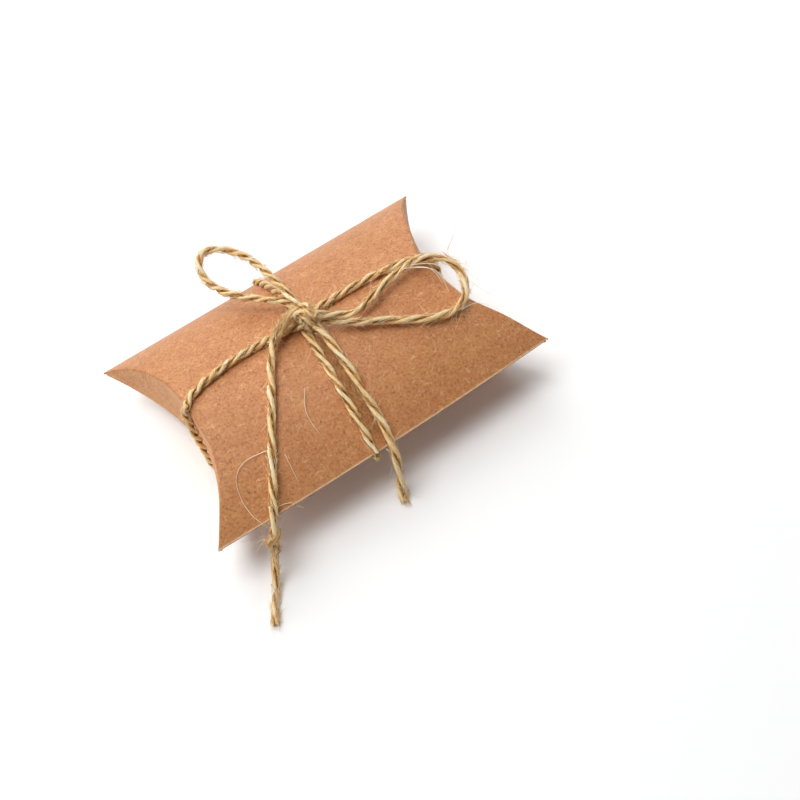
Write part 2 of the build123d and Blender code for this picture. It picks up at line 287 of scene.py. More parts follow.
def paint(red, green, blue):
    """A colour given as it looks on a screen, 0 to 255, turned into the linear values that light needs."""
    shares = np.array([red, green, blue]) / 255
    linear = np.where(shares <= 0.04045, shares / 12.92, ((shares + 0.055) / 1.055) ** 2.4)
    return (*(float(x) for x in linear), 1.0)


# %% [markdown]
# ## Kraft card
# Kraft board is unbleached pulp: a warm brown with darker bark flecks and pale fibres that curl in every
# direction. It could be one noise, but the eye reads three sizes at once, so there are three: soft clouds
# a few millimetres wide, a fine grain, and thin curled fibres. A fibre is found where a distorted noise
# crosses its own middle value, which draws a thin wandering line. Cut edges are scuffed pale, and the
# creases carry painted shade, a deeper brown along each fold. One attribute on the mesh tells the shader
# both: above 0 for scuffed, below 0 for the painted crease shade.

# %% Kraft card, for every panel and flap
BOARD = paint(197, 131, 79)
BOARD_PALE = paint(217, 158, 104)
BOARD_DEEP = paint(162, 94, 52)
FIBRE_PALE = paint(232, 188, 138)
FLECK = paint(112, 62, 36)
SCUFF = paint(242, 212, 170)
# painted shade: the deeper brown that darkens the creases
CREASE_SHADE = paint(150, 90, 50)


def fibre_lines(recipe, place, scale, width):
    """Thin curled lines: 1 where a distorted noise is within width of its middle value."""
    field = recipe.noise(scale, 1.0, place, 0.9)
    away = recipe.node("ShaderNodeMath", 0, {"operation": "ABSOLUTE"}, {0: field - 0.5})
    return (1 - away * (1 / width)).bounded()


def make_board(name, base, pale, deep, gloss=0.4, sheen=0.35):
    """Kraft board: soft clouds, a strong fine grain, pale and dark curled fibres, flecks, scuffed folds,
    and painted shade in the creases.
    gloss is how much the pressed skin of the board mirrors at a flat angle, and sheen is the pale haze of
    the fibres that stand up from it."""
    recipe = Recipe(name)
    place = recipe.node("ShaderNodeTexCoord", "Object")
    clouds = recipe.noise(110.0, 2.0, place)
    grain = recipe.noise(1600.0, 3.0, place, 0.3, 0.65)
    mottle = recipe.noise(420.0, 3.0, place, 0.4)
    pale_fibres = fibre_lines(recipe, place, 560.0, 0.030) * recipe.patches(place, 430.0, 0.50, 0.60)
    dark_places = recipe.patches(place, 500.0, 0.54, 0.64, 1.0, 0.5)
    dark_fibres = fibre_lines(recipe, place, 640.0, 0.026) * dark_places
    cells = recipe.node("ShaderNodeTexVoronoi", "Distance", None, {"Vector": place, "Scale": 560.0})
    flecks = recipe.ramp(cells, (0.09, 1.0), (0.16, 0.0)) * recipe.patches(place, 260.0, 0.58, 0.61, 2.0)
    wear = recipe.node("ShaderNodeAttribute", "Fac", {"attribute_name": "wear"})
    scuffed = wear * recipe.ramp(recipe.noise(1300.0, 2.0, place), (0.3, 0.4), (0.62, 1.0))
    layers = [
        (recipe.ramp(clouds * 0.5 + mottle * 0.5, (0.34, 0.0), (0.66, 1.0)), pale),
        (0.74, base),
        (recipe.ramp(grain, (0.33, 0.75), (0.48, 0.0)), deep),
        (recipe.ramp(grain, (0.52, 0.0), (0.68, 0.6)), pale),
        (pale_fibres * 0.6, FIBRE_PALE),
        (dark_fibres * 0.6, FLECK),
        (flecks * 0.75, FLECK),
        (scuffed.bounded(), SCUFF),
        # painted shade: the creases darkened towards a deeper brown
        ((wear * -0.14).bounded(), CREASE_SHADE),
    ]
    colour = deep
    for share, over in layers:
        colour = recipe.blend(share, colour, over)
    height = grain * 0.6 + pale_fibres * 0.3 + mottle * 0.3 - flecks * 0.2
    relief = recipe.bump(height, 0.45, 0.08 * MM)
    recipe.shade(Base_Color=colour, Normal=relief, Roughness=0.62 - grain * 0.12)
    recipe.shade(Specular_IOR_Level=gloss, Sheen_Weight=sheen, Sheen_Roughness=0.3)
    return recipe.material


# painted light: the flaps are the same board as the panels, painted paler to stand in for light the ends
# miss
FLAP_PAINTED_PALER = (paint(219, 157, 104), paint(233, 180, 128), paint(184, 114, 66))
CUT = (paint(228, 186, 142), paint(242, 208, 168), paint(198, 144, 98))
board = make_board("kraft_board", BOARD, BOARD_PALE, BOARD_DEEP)
flap_board_painted_paler = make_board("kraft_flap_painted_paler", *FLAP_PAINTED_PALER, gloss=0.2, sheen=0.0)
cut_board = make_board("kraft_cut_edge", *CUT)
print("board materials ready")

# %% [markdown]
# ## Turning a grid into a mesh
# Each piece of card is a surface with two parameters. The numbers are worked out for the whole grid at
# once, and one function makes the faces. The board's thickness comes from a Solidify modifier, which
# grows the surface inwards, so the outside stays exactly where the formula puts it, and the rim that it
# adds takes a second material: the paler cut edge. An Edge Split modifier keeps the light from running
# smoothly round that rim, which would draw a dark line beside it.


# %% Grid and piece helpers
def grid_faces(rows, columns):
    """The quads of a grid whose points are numbered row by row."""
    index = np.arange(rows * columns).reshape(rows, columns)
    corners = (index[:-1, :-1], index[1:, :-1], index[1:, 1:], index[:-1, 1:])
    return np.stack([corner.ravel() for corner in corners], axis=1).tolist()


def make_piece(name, points, faces, materials, smooth=True):
    """A mesh object from an array of points and a list of faces."""
    mesh = bpy.data.meshes.new(name)
    mesh.from_pydata(points.reshape(-1, 3).tolist(), [], faces)
    for material in materials:
        mesh.materials.append(material)
    mesh.polygons.foreach_set("use_smooth", np.full(len(mesh.polygons), smooth))
    mesh.update()
    return add_object(name, mesh)


def note(piece, name, values):
    """Store one number, or one vector, for each point of a mesh, under a name that a material reads."""
    kind, field = ("FLOAT", "value") if values.ndim == 1 else ("FLOAT_VECTOR", "vector")
    attribute = piece.data.attributes.new(name, kind, "POINT")
    attribute.data.foreach_set(field, values.astype(np.float32).ravel())


def card_piece(name, grid, wear, skin=board):
    """A sheet of board from its outer surface: an array of rows, columns and 3, faces outwards."""
    rows, columns = grid.shape[:2]
    grid[..., 1] = widened(grid[..., 0], grid[..., 1])
    piece = make_piece(name, grid, grid_faces(rows, columns), [skin, cut_board])
    note(piece, "wear", wear.ravel())
    thick = piece.modifiers.new("thickness", "SOLIDIFY")
    thick.thickness = CARD
    thick.offset = -1.0
    thick.material_offset_rim = 1
    split = piece.modifiers.new("sharp rim", "EDGE_SPLIT")
    split.split_angle = radians(50)
    return piece


# %% [markdown]
# ## The lens section
# Cut across the middle, the box is a lens. The back edge is a fold, so the skin goes round a small radius
# there. At the front edge the lower panel folds round into a tab, which is glued under the upper panel,
# and the upper panel simply ends: its cut edge is the pale line along the front of the box. Each part of
# the outline is an arc, so the whole outline is a list of arcs, each with its centre, radius and angles.

# %% The section as arcs
FOLD = 0.55 * MM  # outer radius of a fold along the box
SEAM = 0.14 * MM  # room for the glue between the upper panel and the tab
CREASE = 0.5 * MM  # outer radius of the curved crease at an end
LEAST_CREASE = 0.02 * MM  # what is left of it at the tips
FRONT_LIP = 0.3 * MM  # the upper panel's cut edge stands out past the fold under it


def arc(centre, radius, start, end, count):
    """Points (y, z) on an arc, from one angle to another, in radians from +Y towards +Z."""
    angles = np.linspace(start, end, count)
    return np.stack([centre[0] + radius * np.cos(angles), centre[1] + radius * np.sin(angles)], axis=1)


back_fold = sqrt((SKIN - FOLD) ** 2 - DROP**2)
back_angle = np.arctan2(DROP, back_fold)
tab_skin = SKIN - CARD - SEAM
front_rise = ((tab_skin - FOLD) ** 2 - (SKIN - FOLD) ** 2) / (4 * DROP)
front_fold = -sqrt((SKIN - FOLD) ** 2 - (front_rise - DROP) ** 2)
under_angle = np.arctan2(front_rise - DROP, front_fold)
over_angle = np.arctan2(front_rise + DROP, front_fold)
lip_angle = pi - np.arccos((FOLD + FRONT_LIP - front_fold) / SKIN)
ACROSS = 96
FOLD_ROWS = 9
SEAM_ROWS = 13
LIP_ROWS = 6  # rows close together along the cut edge, for its pale scuffed line
LIP_BAND = 0.5 * MM
lip_inner = lip_angle - LIP_BAND / SKIN
top_section = np.concatenate(
    [
        arc((0, -DROP), SKIN, lip_angle, lip_inner, LIP_ROWS)[:-1],
        arc((0, -DROP), SKIN, lip_inner, back_angle, ACROSS),
        arc((back_fold, 0), FOLD, back_angle, 0, FOLD_ROWS)[1:],
    ]
)
bottom_section = np.concatenate(
    [
        arc((back_fold, 0), FOLD, 0, -back_angle, FOLD_ROWS)[:-1],
        arc((0, DROP), SKIN, -back_angle, under_angle, ACROSS),
        arc((front_fold, front_rise), FOLD, under_angle, over_angle - 2 * pi, SEAM_ROWS)[1:],
    ]
)
print("front fold at", round(front_fold / MM, 2), "mm, back fold at", round(back_fold / MM, 2), "mm")

# %% [markdown]
# ## Panels
# A panel is the section carried along X, between two curved creases. At each row of the grid the card runs
# straight along X, then turns a quarter circle towards the flap. The radius of that turn shrinks towards
# the tips, where there is no room for it. The upper panel is also lowered by its hollow and its waves, and
# its ends are drawn in.

# %% Panel surfaces
ALONG = 130
CREASE_STEPS = 7
CREASE_GROWTH = 1.6  # it closes up over this many times its own radius
LIP_SCUFF = 0.2 * MM  # how far the pale line of the cut edge reaches
LIP_WEAR = 1.3


def crease_radius(rise):
    """Outer radius of the crease where the skin is rise above the tips: it closes up towards them."""
    return LEAST_CREASE + CREASE * (1 - np.exp(-np.maximum(rise, 0) / (CREASE_GROWTH * CREASE)))


def panel_grid(section, side, step):
    """A panel's outer surface. Rows follow the section. Columns run along X, with a quarter circle of the
    crease's radius at each end. side is 1 for the upper panel and -1 for the lower one."""
    y = section[:, 0][:, None]
    z = section[:, 1][:, None]
    radius = crease_radius(z * side)
    pulled = 1 if side > 0 else 0
    left = end_reach(y, step) - pulled * drawn_in(y, -1) - radius
    right = end_reach(y, step) - pulled * drawn_in(y, 1) - radius
    turn = np.linspace(0, pi / 2, CREASE_STEPS)[None, 1:]
    share = np.linspace(0, 1, ALONG)[None, :]
    middle_x = -left + (left + right) * share
    left_x = -left - radius * np.sin(turn[:, ::-1])
    right_x = right + radius * np.sin(turn)
    turned_z = z - side * radius * (1 - np.cos(turn))
    x = np.concatenate([left_x, middle_x, right_x], axis=1)
    lift = np.concatenate([turned_z[:, ::-1], z + 0 * middle_x, turned_z], axis=1)
    across = y + 0 * x
    if side > 0:
        lift = lift - handled(x, across)
    grid = np.stack([x, across, TIP + lift], axis=2)
    # painted shade along each crease, strongest halfway round its turn, stored below 0
    crease_shade = np.sin(2 * turn)
    wear = -np.concatenate([crease_shade[:, ::-1], 0 * share, crease_shade], axis=1)
    return grid, wear + 0.0 * x


top_grid, top_wear_and_crease_shade = panel_grid(top_section, 1, 0.0)
lip_distance = (top_section[:, 0] - top_section[0, 0])[:, None] / LIP_SCUFF
top_wear_and_crease_shade = top_wear_and_crease_shade + LIP_WEAR * np.exp(-lip_distance**2)
top_panel = card_piece("card_top_panel", top_grid[:, ::-1], top_wear_and_crease_shade[:, ::-1])
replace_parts(top_panel, "top_panel")
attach(top_panel, "sleeve")
bottom_grid, bottom_crease_shade = panel_grid(bottom_section, -1, INNER_STEP)
bottom_panel = card_piece("card_bottom_panel", bottom_grid[:, ::-1], bottom_crease_shade[:, ::-1])
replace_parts(bottom_panel, "bottom_panel")
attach(bottom_panel, "sleeve")
print("panels", len(top_panel.data.polygons) + len(bottom_panel.data.polygons), "faces")

# %% [markdown]
# ## The glued tab
# The tab goes on round the front fold and lies under the upper panel, where a line of glue holds it. Its
# ends are cut at a slant. Both are almost hidden, but they show when the box is seen from below or with a
# flap open, so the tab is a real strip of board and the glue a thin uneven film.

# %% Tab and glue
_, tab_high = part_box("glue_tab")
TAB_SLANT = 7 * MM
TAB_COLUMNS = 60
TAB_ROWS = 14
tab_section = arc((0, -DROP), tab_skin, over_angle, np.arccos(tab_high.y / tab_skin), TAB_ROWS)


def strip_grid(section, columns, length, slant, ragged=0.0):
    """A strip along the front edge whose half length goes from length down by slant, row by row. ragged
    is how far its long edges wander."""
    depth = np.linspace(0, 1, len(section))[:, None]
    spread = np.linspace(1, -1, columns)[None, :]
    x = spread * (length - slant * depth)
    uneven = ragged * np.sin(spread * 61) * np.sin(spread * 23 + 1) * (2 * depth - 1)
    y = section[:, 0][:, None] + uneven
    z = section[:, 1][:, None] + 0 * x
    return np.stack([x, y + 0 * x, TIP + z], axis=2)


tab_grid = strip_grid(tab_section, TAB_COLUMNS, tab_high.x, TAB_SLANT)
glue_tab = card_piece("card_glue_tab", tab_grid, np.zeros(tab_grid.shape[:2]))
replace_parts(glue_tab, "glue_tab")
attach(glue_tab, "sleeve")

GLUE_FILM = 0.1 * MM
GLUE_COLUMNS = 160
GLUE_ROWS = 8
GLUE_FROM = 1.2 * MM  # the film starts this far from the front fold
GLUE_SHORT = 0.8 * MM  # and ends this far before the tab's edge
GLUE_LIFT = 0.12 * MM  # from the tab to the film's outside
GLUE_INSET = 2 * MM  # the film stays this far inside the tab's ends
GLUE_SLANT = TAB_SLANT - 1 * MM
GLUE_RAGGED = 0.35 * MM
glue_recipe = Recipe("dried_glue")
glue_place = glue_recipe.node("ShaderNodeTexCoord", "Object")
glue_clouds = glue_recipe.noise(900.0, 3.0, glue_place)
glue_colour = glue_recipe.blend(glue_clouds, paint(214, 190, 150), paint(238, 224, 196))
glue_relief = glue_recipe.bump(glue_clouds, 0.4, 0.05 * MM)
glue_recipe.shade(Base_Color=glue_colour, Roughness=0.45 + glue_clouds * 0.2, Normal=glue_relief)
glue_start = np.arccos((front_fold + GLUE_FROM) / tab_skin)
glue_end = np.arccos((tab_high.y - GLUE_SHORT) / tab_skin)
glue_section = arc((0, -DROP), tab_skin + GLUE_LIFT, glue_start, glue_end, GLUE_ROWS)
glue_length = tab_high.x - GLUE_INSET
glue_grid = strip_grid(glue_section, GLUE_COLUMNS, glue_length, GLUE_SLANT, GLUE_RAGGED)
glue_grid[..., 1] = widened(glue_grid[..., 0], glue_grid[..., 1])
glue_line = make_piece("glue_bead", glue_grid, grid_faces(*glue_grid.shape[:2]), [glue_recipe.material])
film = glue_line.modifiers.new("film", "SOLIDIFY")
film.thickness = GLUE_FILM
film.offset = -1.0
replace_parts(glue_line, "glue_line")
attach(glue_line, "sleeve")

# %% [markdown]
# ## Flaps
# An outer flap goes on straight down from the crease of the upper panel, and its free edge has the same
# curve as the crease of the lower panel, so a closed end is one lens of card. The inner flap behind it is
# shallower. When a flap opens, it doesn't turn like a door: its creased edge stays where it is and the
# card rolls over.

# %% Flap surfaces
FLAP_ROWS = 110
FLAP_STEPS = 34
FLAP_CROWDING = 1.4  # its rows lie closer together near the crease
FLAP_WEAR = 0.6  # how scuffed its free edge is
FLAP_WEAR_FADE = 40  # over a fortieth of its height
FLAP_TIP = 0.55 * MM  # the flaps stop this far short of the fold line
INNER_CROWN = 2.2 * MM
SPRING = 1.3 * MM  # the right flap has sprung out by this much near the back tip
SPRING_MIDDLE = 20 * MM
SPRING_REACH = 8 * MM
SPRING_FADE = 5 * MM  # it grows over about this much from the crease down
flap_half_width = back_fold + FOLD - FLAP_TIP


def flap_grid(end, side, step, free_height):
    """An upright wall on the end's curve, from the bottom of a crease to its free edge. end is 1 for the
    right end, side is 1 where it hangs from the upper panel, and free_height(y) is where it stops."""
    y = np.linspace(-flap_half_width, flap_half_width, FLAP_ROWS)[:, None]
    height = skin_height(y)
    start = side * (height - crease_radius(height))
    share = np.linspace(0, 1, FLAP_STEPS)[None, :] ** FLAP_CROWDING
    z = start + (free_height(y) - start) * share
    below = np.abs(start - z)
    reach = end_reach(y, step) + 0 * z
    if side > 0:
        reach = reach - drawn_in(y, end, below)
        z = z - handled(end * reach, y + 0 * z) * (1 - share)
    if side > 0 and end > 0:
        sprung = SPRING * np.exp(-np.square((y - SPRING_MIDDLE) / SPRING_REACH))
        reach = reach + sprung * (1 - np.exp(-below / SPRING_FADE))
    return np.stack([end * reach, y + 0 * z, TIP + z], axis=2), share + 0 * z


def add_flap(node, end, side, step, free_height):
    """A flap as a piece of board, from its grid."""
    grid, share = flap_grid(end, side, step, free_height)
    if end * side > 0:
        grid = grid[:, ::-1]
        share = share[:, ::-1]
    wear = FLAP_WEAR * np.exp(-(1 - share) * FLAP_WEAR_FADE)
    flap = card_piece(f"card_{node}", grid, wear, flap_board_painted_paler)
    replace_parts(flap, node)
    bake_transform(flap)


def outer_edge(y):
    """An outer flap's free edge: the curve of the lower panel's crease."""
    return -skin_height(y)


def inner_edge(y):
    """An inner flap's free edge: a low arc that meets the tips."""
    return INNER_CROWN * (1 - np.square(y / flap_half_width))


for side_name, end in (("left", -1), ("right", 1)):
    add_flap(f"outer_flap_{side_name}", end, 1, 0.0, outer_edge)
    add_flap(f"inner_flap_{side_name}", end, -1, INNER_STEP, inner_edge)

# %% [markdown]
# ## Jute twine
# Jute twine is two plies laid round each other, and each ply is a loose bundle of long fibres that run
# almost straight along the twine. A plain tube with a bump map looks like plastic, so both plies are real
# tubes on helices, with ridges for the bundles. The plies lean to the left as they go away from you,
# which spinners call an S lay. Two things are stored on the mesh for the material: strand, a vector that
# runs round and along each ply, so that the colour is drawn out into fibres that follow the lay, and
# tone, which makes one ply paler than the other, with painted shade in the groove between the plies
# and between the ridges.

# %% Jute material
# painted shade: the dark brown of the grooves between the plies
JUTE_GROOVE_SHADE = paint(112, 72, 36)
JUTE_DARK = paint(204, 150, 90)
JUTE_MID = paint(250, 206, 142)
JUTE_LIGHT = paint(255, 230, 174)
JUTE_PALE = paint(255, 244, 214)


def make_jute(name, stops):
    """Long fibres: noise read on the strand attribute, fine round the ply and slow along it, added to the
    tone and painted groove shade that the mesh gives, and looked up in a row of straw colours."""
    recipe = Recipe(name)
    strand = recipe.node("ShaderNodeAttribute", "Vector", {"attribute_name": "strand"})
    tone = recipe.node("ShaderNodeAttribute", "Fac", {"attribute_name": "tone"})
    bundles = recipe.noise(2.1, 2.0, strand, 0.3, 0.55)
    fibres = recipe.noise(5.0, 3.0, strand, 0.3, 0.62)
    mixed = bundles * 0.6 + fibres * 0.6 + tone
    colour = recipe.node("ShaderNodeValToRGB", "Color", {"stops": stops}, {"Fac": mixed - 0.6})
    relief = recipe.bump(bundles * 0.6 + fibres * 0.4, 0.9, 0.14 * MM)
    recipe.shade(Base_Color=colour, Normal=relief, Roughness=0.6 + fibres * 0.2)
    recipe.shade(Specular_IOR_Level=0.08)
    return recipe.material


straw = [(0.10, JUTE_GROOVE_SHADE), (0.28, JUTE_DARK), (0.46, JUTE_MID), (0.60, JUTE_LIGHT), (0.78, JUTE_PALE)]
jute = make_jute("jute_twine", straw)
downy = [(0.2, JUTE_DARK), (0.5, JUTE_MID), (0.68, JUTE_LIGHT), (0.9, JUTE_PALE)]
jute_fuzz = make_jute("jute_fuzz", downy)

# %% [markdown]
# ### From a route to a twisted cord
# A cord follows a smooth line. Its route is a short list of points that act as control points of a NURBS
# curve, and Blender itself works out the line. Along that line each ring needs a sideways direction that
# doesn't spin by itself: a fixed direction is projected square to the line, and the slow turn that this
# leaves in it is summed up and taken out again. Then the plies are circles, moved out from the line and
# turned steadily with the distance.

# %% Lines
STEP = 0.22 * MM  # between two points of an even line


def smooth_line(route):
    """The points of the NURBS curve of order 3 that has the route, in millimetres, as control points."""
    curve = bpy.data.curves.new("route", "CURVE")
    curve.dimensions = "3D"
    spline = curve.splines.new("NURBS")
    spline.points.add(len(route) - 1)
    for point, place in zip(spline.points, route):
        point.co = (place[0] * MM, place[1] * MM, place[2] * MM, 1.0)
    spline.order_u = 3
    spline.use_endpoint_u = True
    spline.resolution_u = 24
    holder = bpy.data.objects.new("route", curve)
    mesh = bpy.data.meshes.new_from_object(holder)
    line = np.zeros(len(mesh.vertices) * 3)
    mesh.vertices.foreach_get("co", line)
    bpy.data.objects.remove(holder)
    bpy.data.meshes.remove(mesh)
    bpy.data.curves.remove(curve)
    return line.reshape(-1, 3)


def line_length(line):
    return float(np.linalg.norm(np.diff(line, axis=0), axis=1).sum())


def read_at(marks, rows, scale=None):
    """Vectors read between the rows of an array, at marks on a scale: the row numbers, if none is given."""
    scale = np.arange(len(rows)) if scale is None else scale
    return np.stack([np.interp(marks, scale, rows[:, axis]) for axis in range(3)], axis=-1)


def even_line(line):
    """The same line with points an even step apart."""
    pace = np.concatenate([[0.0], np.cumsum(np.linalg.norm(np.diff(line, axis=0), axis=1))])
    count = max(int(round(pace[-1] / STEP)), 4) + 1
    return read_at(np.linspace(0, pace[-1], count), line, pace)


def unit(vectors):
    return vectors / np.maximum(np.linalg.norm(vectors, axis=-1, keepdims=True), 1e-12)


def cross_frame(line):
    """Two directions square to a line that don't spin along it, and the tangent."""
    tangent = unit(np.gradient(line, axis=0))
    fixed = np.array([0.12, 0.31, 0.94])
    side = unit(fixed - tangent * (tangent @ fixed)[:, None])
    other = np.cross(tangent, side)
    spin = np.concatenate([[0.0], np.cumsum(np.sum(np.diff(side, axis=0) * other[:-1], axis=1))])
    turn_cos = np.cos(spin)[:, None]
    turn_sin = np.sin(spin)[:, None]
    return side * turn_cos - other * turn_sin, side * turn_sin + other * turn_cos, tangent


# %% Plies
TWINE = 1.8 * MM
PLY_OUT = 0.45 * MM  # from the middle of the twine to the middle of a ply
PLY_RADIUS = 0.46 * MM
RING = 24
FLATTENED = 0.18 * MM  # the twine under the box is pressed flat by this much
WOBBLE = 0.38  # the lay runs ahead and falls behind by up to about this angle
SWELL = 0.14  # share by which a ply grows thick and thin
SWELL_LENGTH = 1.7 * MM
BUNDLES = 6  # ridges round a ply
LEAST_RIDGE = 0.93
RIDGE = 0.13
STRAND_LENGTH = 4.5 * MM  # one unit of the strand vector along a ply
PLY_TONE = 0.05  # how much paler the first ply is, and how much darker the second
MEAN_TONE = 0.66
SLOW_TONE = 0.07
SLOW_LENGTH = 2.9 * MM
# painted shade: the groove between the plies and the hollows between ridges are darkened
GROOVE_FROM = 0.80  # the groove starts at this share of the way out
GROOVE_WIDTH = 0.3  # and is at its darkest this much further in
GROOVE_SHADE = 0.40
BETWEEN_RIDGE_SHADE = 0.26  # how much darker it is between two ridges


def twist(line, lay, phase=0.0, size=1.0, seed=1):
    """The two plies round an even line. Each is a tube whose centre circles the line once in every lay,
    and the second starts half a turn from the first. Ridges run along a ply, turned back against the lay.
    size, one number or one for each point, scales the section. Returns rows of rings: the points, the
    strand vectors and the tones with their painted groove shade, each with the plies as its first axis."""
    side, other, _ = cross_frame(line)
    draws = np.random.default_rng(seed)
    travel = np.arange(len(line)) * STEP
    starts = draws.uniform(0, 2 * pi, 4)
    whole = (size + 0 * travel)[None, :, None]
    wobble = np.sin(travel / (4.1 * MM) + starts[0]) + 0.6 * np.sin(travel / (1.9 * MM) + starts[1])
    travel = travel[None, :, None]
    ply = np.arange(2)[:, None, None]
    around = np.linspace(0, 2 * pi, RING, endpoint=False)[None, None, :]
    swing = phase - 2 * pi * travel / lay + ply * pi + WOBBLE * wobble[None, :, None]
    out = swing + around
    fibre_turn = around - 1.3 * swing
    lobes = np.abs(np.sin(0.5 * BUNDLES * fibre_turn + ply))
    ridges = LEAST_RIDGE + RIDGE * lobes + 0.06 * np.sin(3 * fibre_turn + 2.1)
    swell = 1 + SWELL * np.sin(travel / SWELL_LENGTH + starts[2] + 2.4 * ply)
    centre_out = PLY_OUT * whole
    radius = PLY_RADIUS * ridges * swell * whole
    across = centre_out * np.cos(swing) + radius * np.cos(out)
    upward = centre_out * np.sin(swing) + radius * np.sin(out)
    tubes = line[None, :, None, :] + side[None, :, None, :] * across[..., None]
    tubes = tubes + other[None, :, None, :] * upward[..., None]
    along = travel / STRAND_LENGTH + ply * 7.7 + 0 * out
    strands = np.stack([np.cos(fibre_turn), np.sin(fibre_turn), along], axis=3)
    outward = np.hypot(across, upward) / (centre_out + radius)
    # painted shade, darkest in the groove between the plies and between the ridges
    groove_shade = np.clip((GROOVE_FROM - outward) / GROOVE_WIDTH, 0, 1)
    slow = SLOW_TONE * np.sin(travel / SLOW_LENGTH + starts[3] + 1.9 * ply)
    groove_and_ridge_shade = GROOVE_SHADE * groove_shade + BETWEEN_RIDGE_SHADE * (1 - lobes) ** 2
    return tubes, strands, MEAN_TONE + PLY_TONE * (1 - 2 * ply) + slow - groove_and_ridge_shade


class Bundle:
    """Tubes and fibres that become one mesh, with their strand and tone."""

    def __init__(self):
        self.points = []
        self.faces = []
        self.strands = []
        self.tones = []
        self.count = 0

    def add(self, tubes, strands, tones):
        """Add tubes given as arrays of tube, row and ring, each closed by a face at both ends."""
        tube_count, rows, ring = tubes.shape[:3]
        index = self.count + np.arange(tube_count * rows * ring).reshape(tube_count, rows, ring)
        beside = np.roll(index, -1, axis=2)
        quads = np.stack([index[:, :-1], beside[:, :-1], beside[:, 1:], index[:, 1:]], axis=3)
        self.faces.extend(quads.reshape(-1, 4).tolist())
        self.faces.extend(index[:, 0, ::-1].tolist())
        self.faces.extend(index[:, -1].tolist())
        self.points.append(tubes.reshape(-1, 3))
        self.strands.append(strands.reshape(-1, 3))
        self.tones.append((tones + np.zeros(tubes.shape[:3])).ravel())
        self.count += tube_count * rows * ring
        return self

    def piece(self, name, material=jute):
        """Make the mesh. Nothing reaches below the floor."""
        points = np.concatenate(self.points)
        points[:, 2] = np.maximum(points[:, 2], 0.0)
        made = make_piece(name, points, self.faces, [material])
        note(made, "strand", np.concatenate(self.strands))
        note(made, "tone", np.concatenate(self.tones))
        return made


# %% [markdown]
# ### The parcel tie
# The twine goes once round the box lengthwise and once crosswise. It leaves the knot, runs over the card,
# turns round a crease or an edge and comes back underneath. On top it doesn't run quite straight: the
# lengthwise twine bows towards the back between the knot and the ends. Each of these four ways is worked
# out as one line and twisted once, and the pieces are cut from it, so that the plies run on from one
# piece into the next.

# %% Lines of the four ways
HUG = 0.95 * MM  # from the card's skin to the middle of the twine
EDGE_BITE = 0.45 * MM  # the twine is pressed this far into itself where it bends over an edge
BITE_REACH = 2.5 * MM
HALF_GAP = 0.9 * MM  # each strand lies this far beside the middle of the lower crossing
FRONT_SLANT = radians(8.6)
BACK_SLANT = radians(4.5)
TOP_START = {-1: 1.6 * MM, 1: 3.4 * MM}  # where the lengthwise twine leaves the knot, along Y
TOP_BOW = {-1: 8.8 * MM, 1: 4.8 * MM}
knot_low, knot_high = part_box("bow_knot")
KNOT_X = (knot_low.x + knot_high.x) / 2
KNOT_Y = (knot_low.y + knot_high.y) / 2
KNOT_Z = knot_high.z - 4.2 * MM  # its middle
OVER = TIP + RISE + HUG
UNDER = TWINE / 2 - FLATTENED
BOW_POWER = 0.55  # under 1, so the bow is fullest beyond the middle of the way
OVER_POINTS = 90
DOWN_POINTS = 40
BACK_POINTS = 60
TURN_POINTS = 12  # on each quarter circle
ARC_POINTS = 70  # on each long arc of a crosswise strand
EDGE_POINTS = 18  # on the small arc round the edge


def lengthwise_line(end, end_node):
    """From the knot over the panel, a quarter circle of radius HUG round the crease, down the flap, a
    second quarter circle and back under the box. Over the panel y is a straight line plus a bow, the
    product of the share of the way and a power of what is left of it."""
    low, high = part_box(end_node)
    end_y = (low.y + high.y) / 2
    share = np.linspace(0, 1, OVER_POINTS)
    crease_x = FACE - float(drawn_in(end_y, end))
    start_y = TOP_START[end]
    over_y = start_y + (end_y - start_y) * share + TOP_BOW[end] * share * (1 - share) ** BOW_POWER
    over_x = crease_x * share
    over_z = OVER - handled(end * over_x, over_y)
    turn = np.linspace(0, pi / 2, TURN_POINTS)[1:]
    turn_x = crease_x + HUG * np.sin(turn)
    turn_z = OVER - HUG + HUG * np.cos(turn)
    down_z = np.linspace(OVER - HUG, UNDER + HUG, DOWN_POINTS)[1:]
    down_x = FACE + HUG - drawn_in(end_y, end, OVER - HUG - down_z)
    lower_x = FACE + HUG * np.cos(turn)
    lower_z = UNDER + HUG - HUG * np.sin(turn)
    back = np.linspace(0, 1, BACK_POINTS)[1:]
    back_x = FACE * (1 - back)
    back_y = end_y + (KNOT_Y - end * HALF_GAP - end_y) * back
    x = np.concatenate([over_x, turn_x, down_x, lower_x, back_x])
    round_end = len(turn_x) + len(down_x) + len(lower_x)
    y = np.concatenate([over_y, np.full(round_end, end_y), back_y])
    z = np.concatenate([over_z, turn_z, down_z, lower_z, np.full(len(back), UNDER)])
    return np.stack([end * x, y, z], axis=1)


def hug_at(y, edge_y):
    """From the skin to the middle of the twine: HUG, less a bell of EDGE_BITE where it bends over."""
    return HUG - EDGE_BITE * np.exp(-np.square((np.abs(y) - abs(edge_y)) / BITE_REACH))


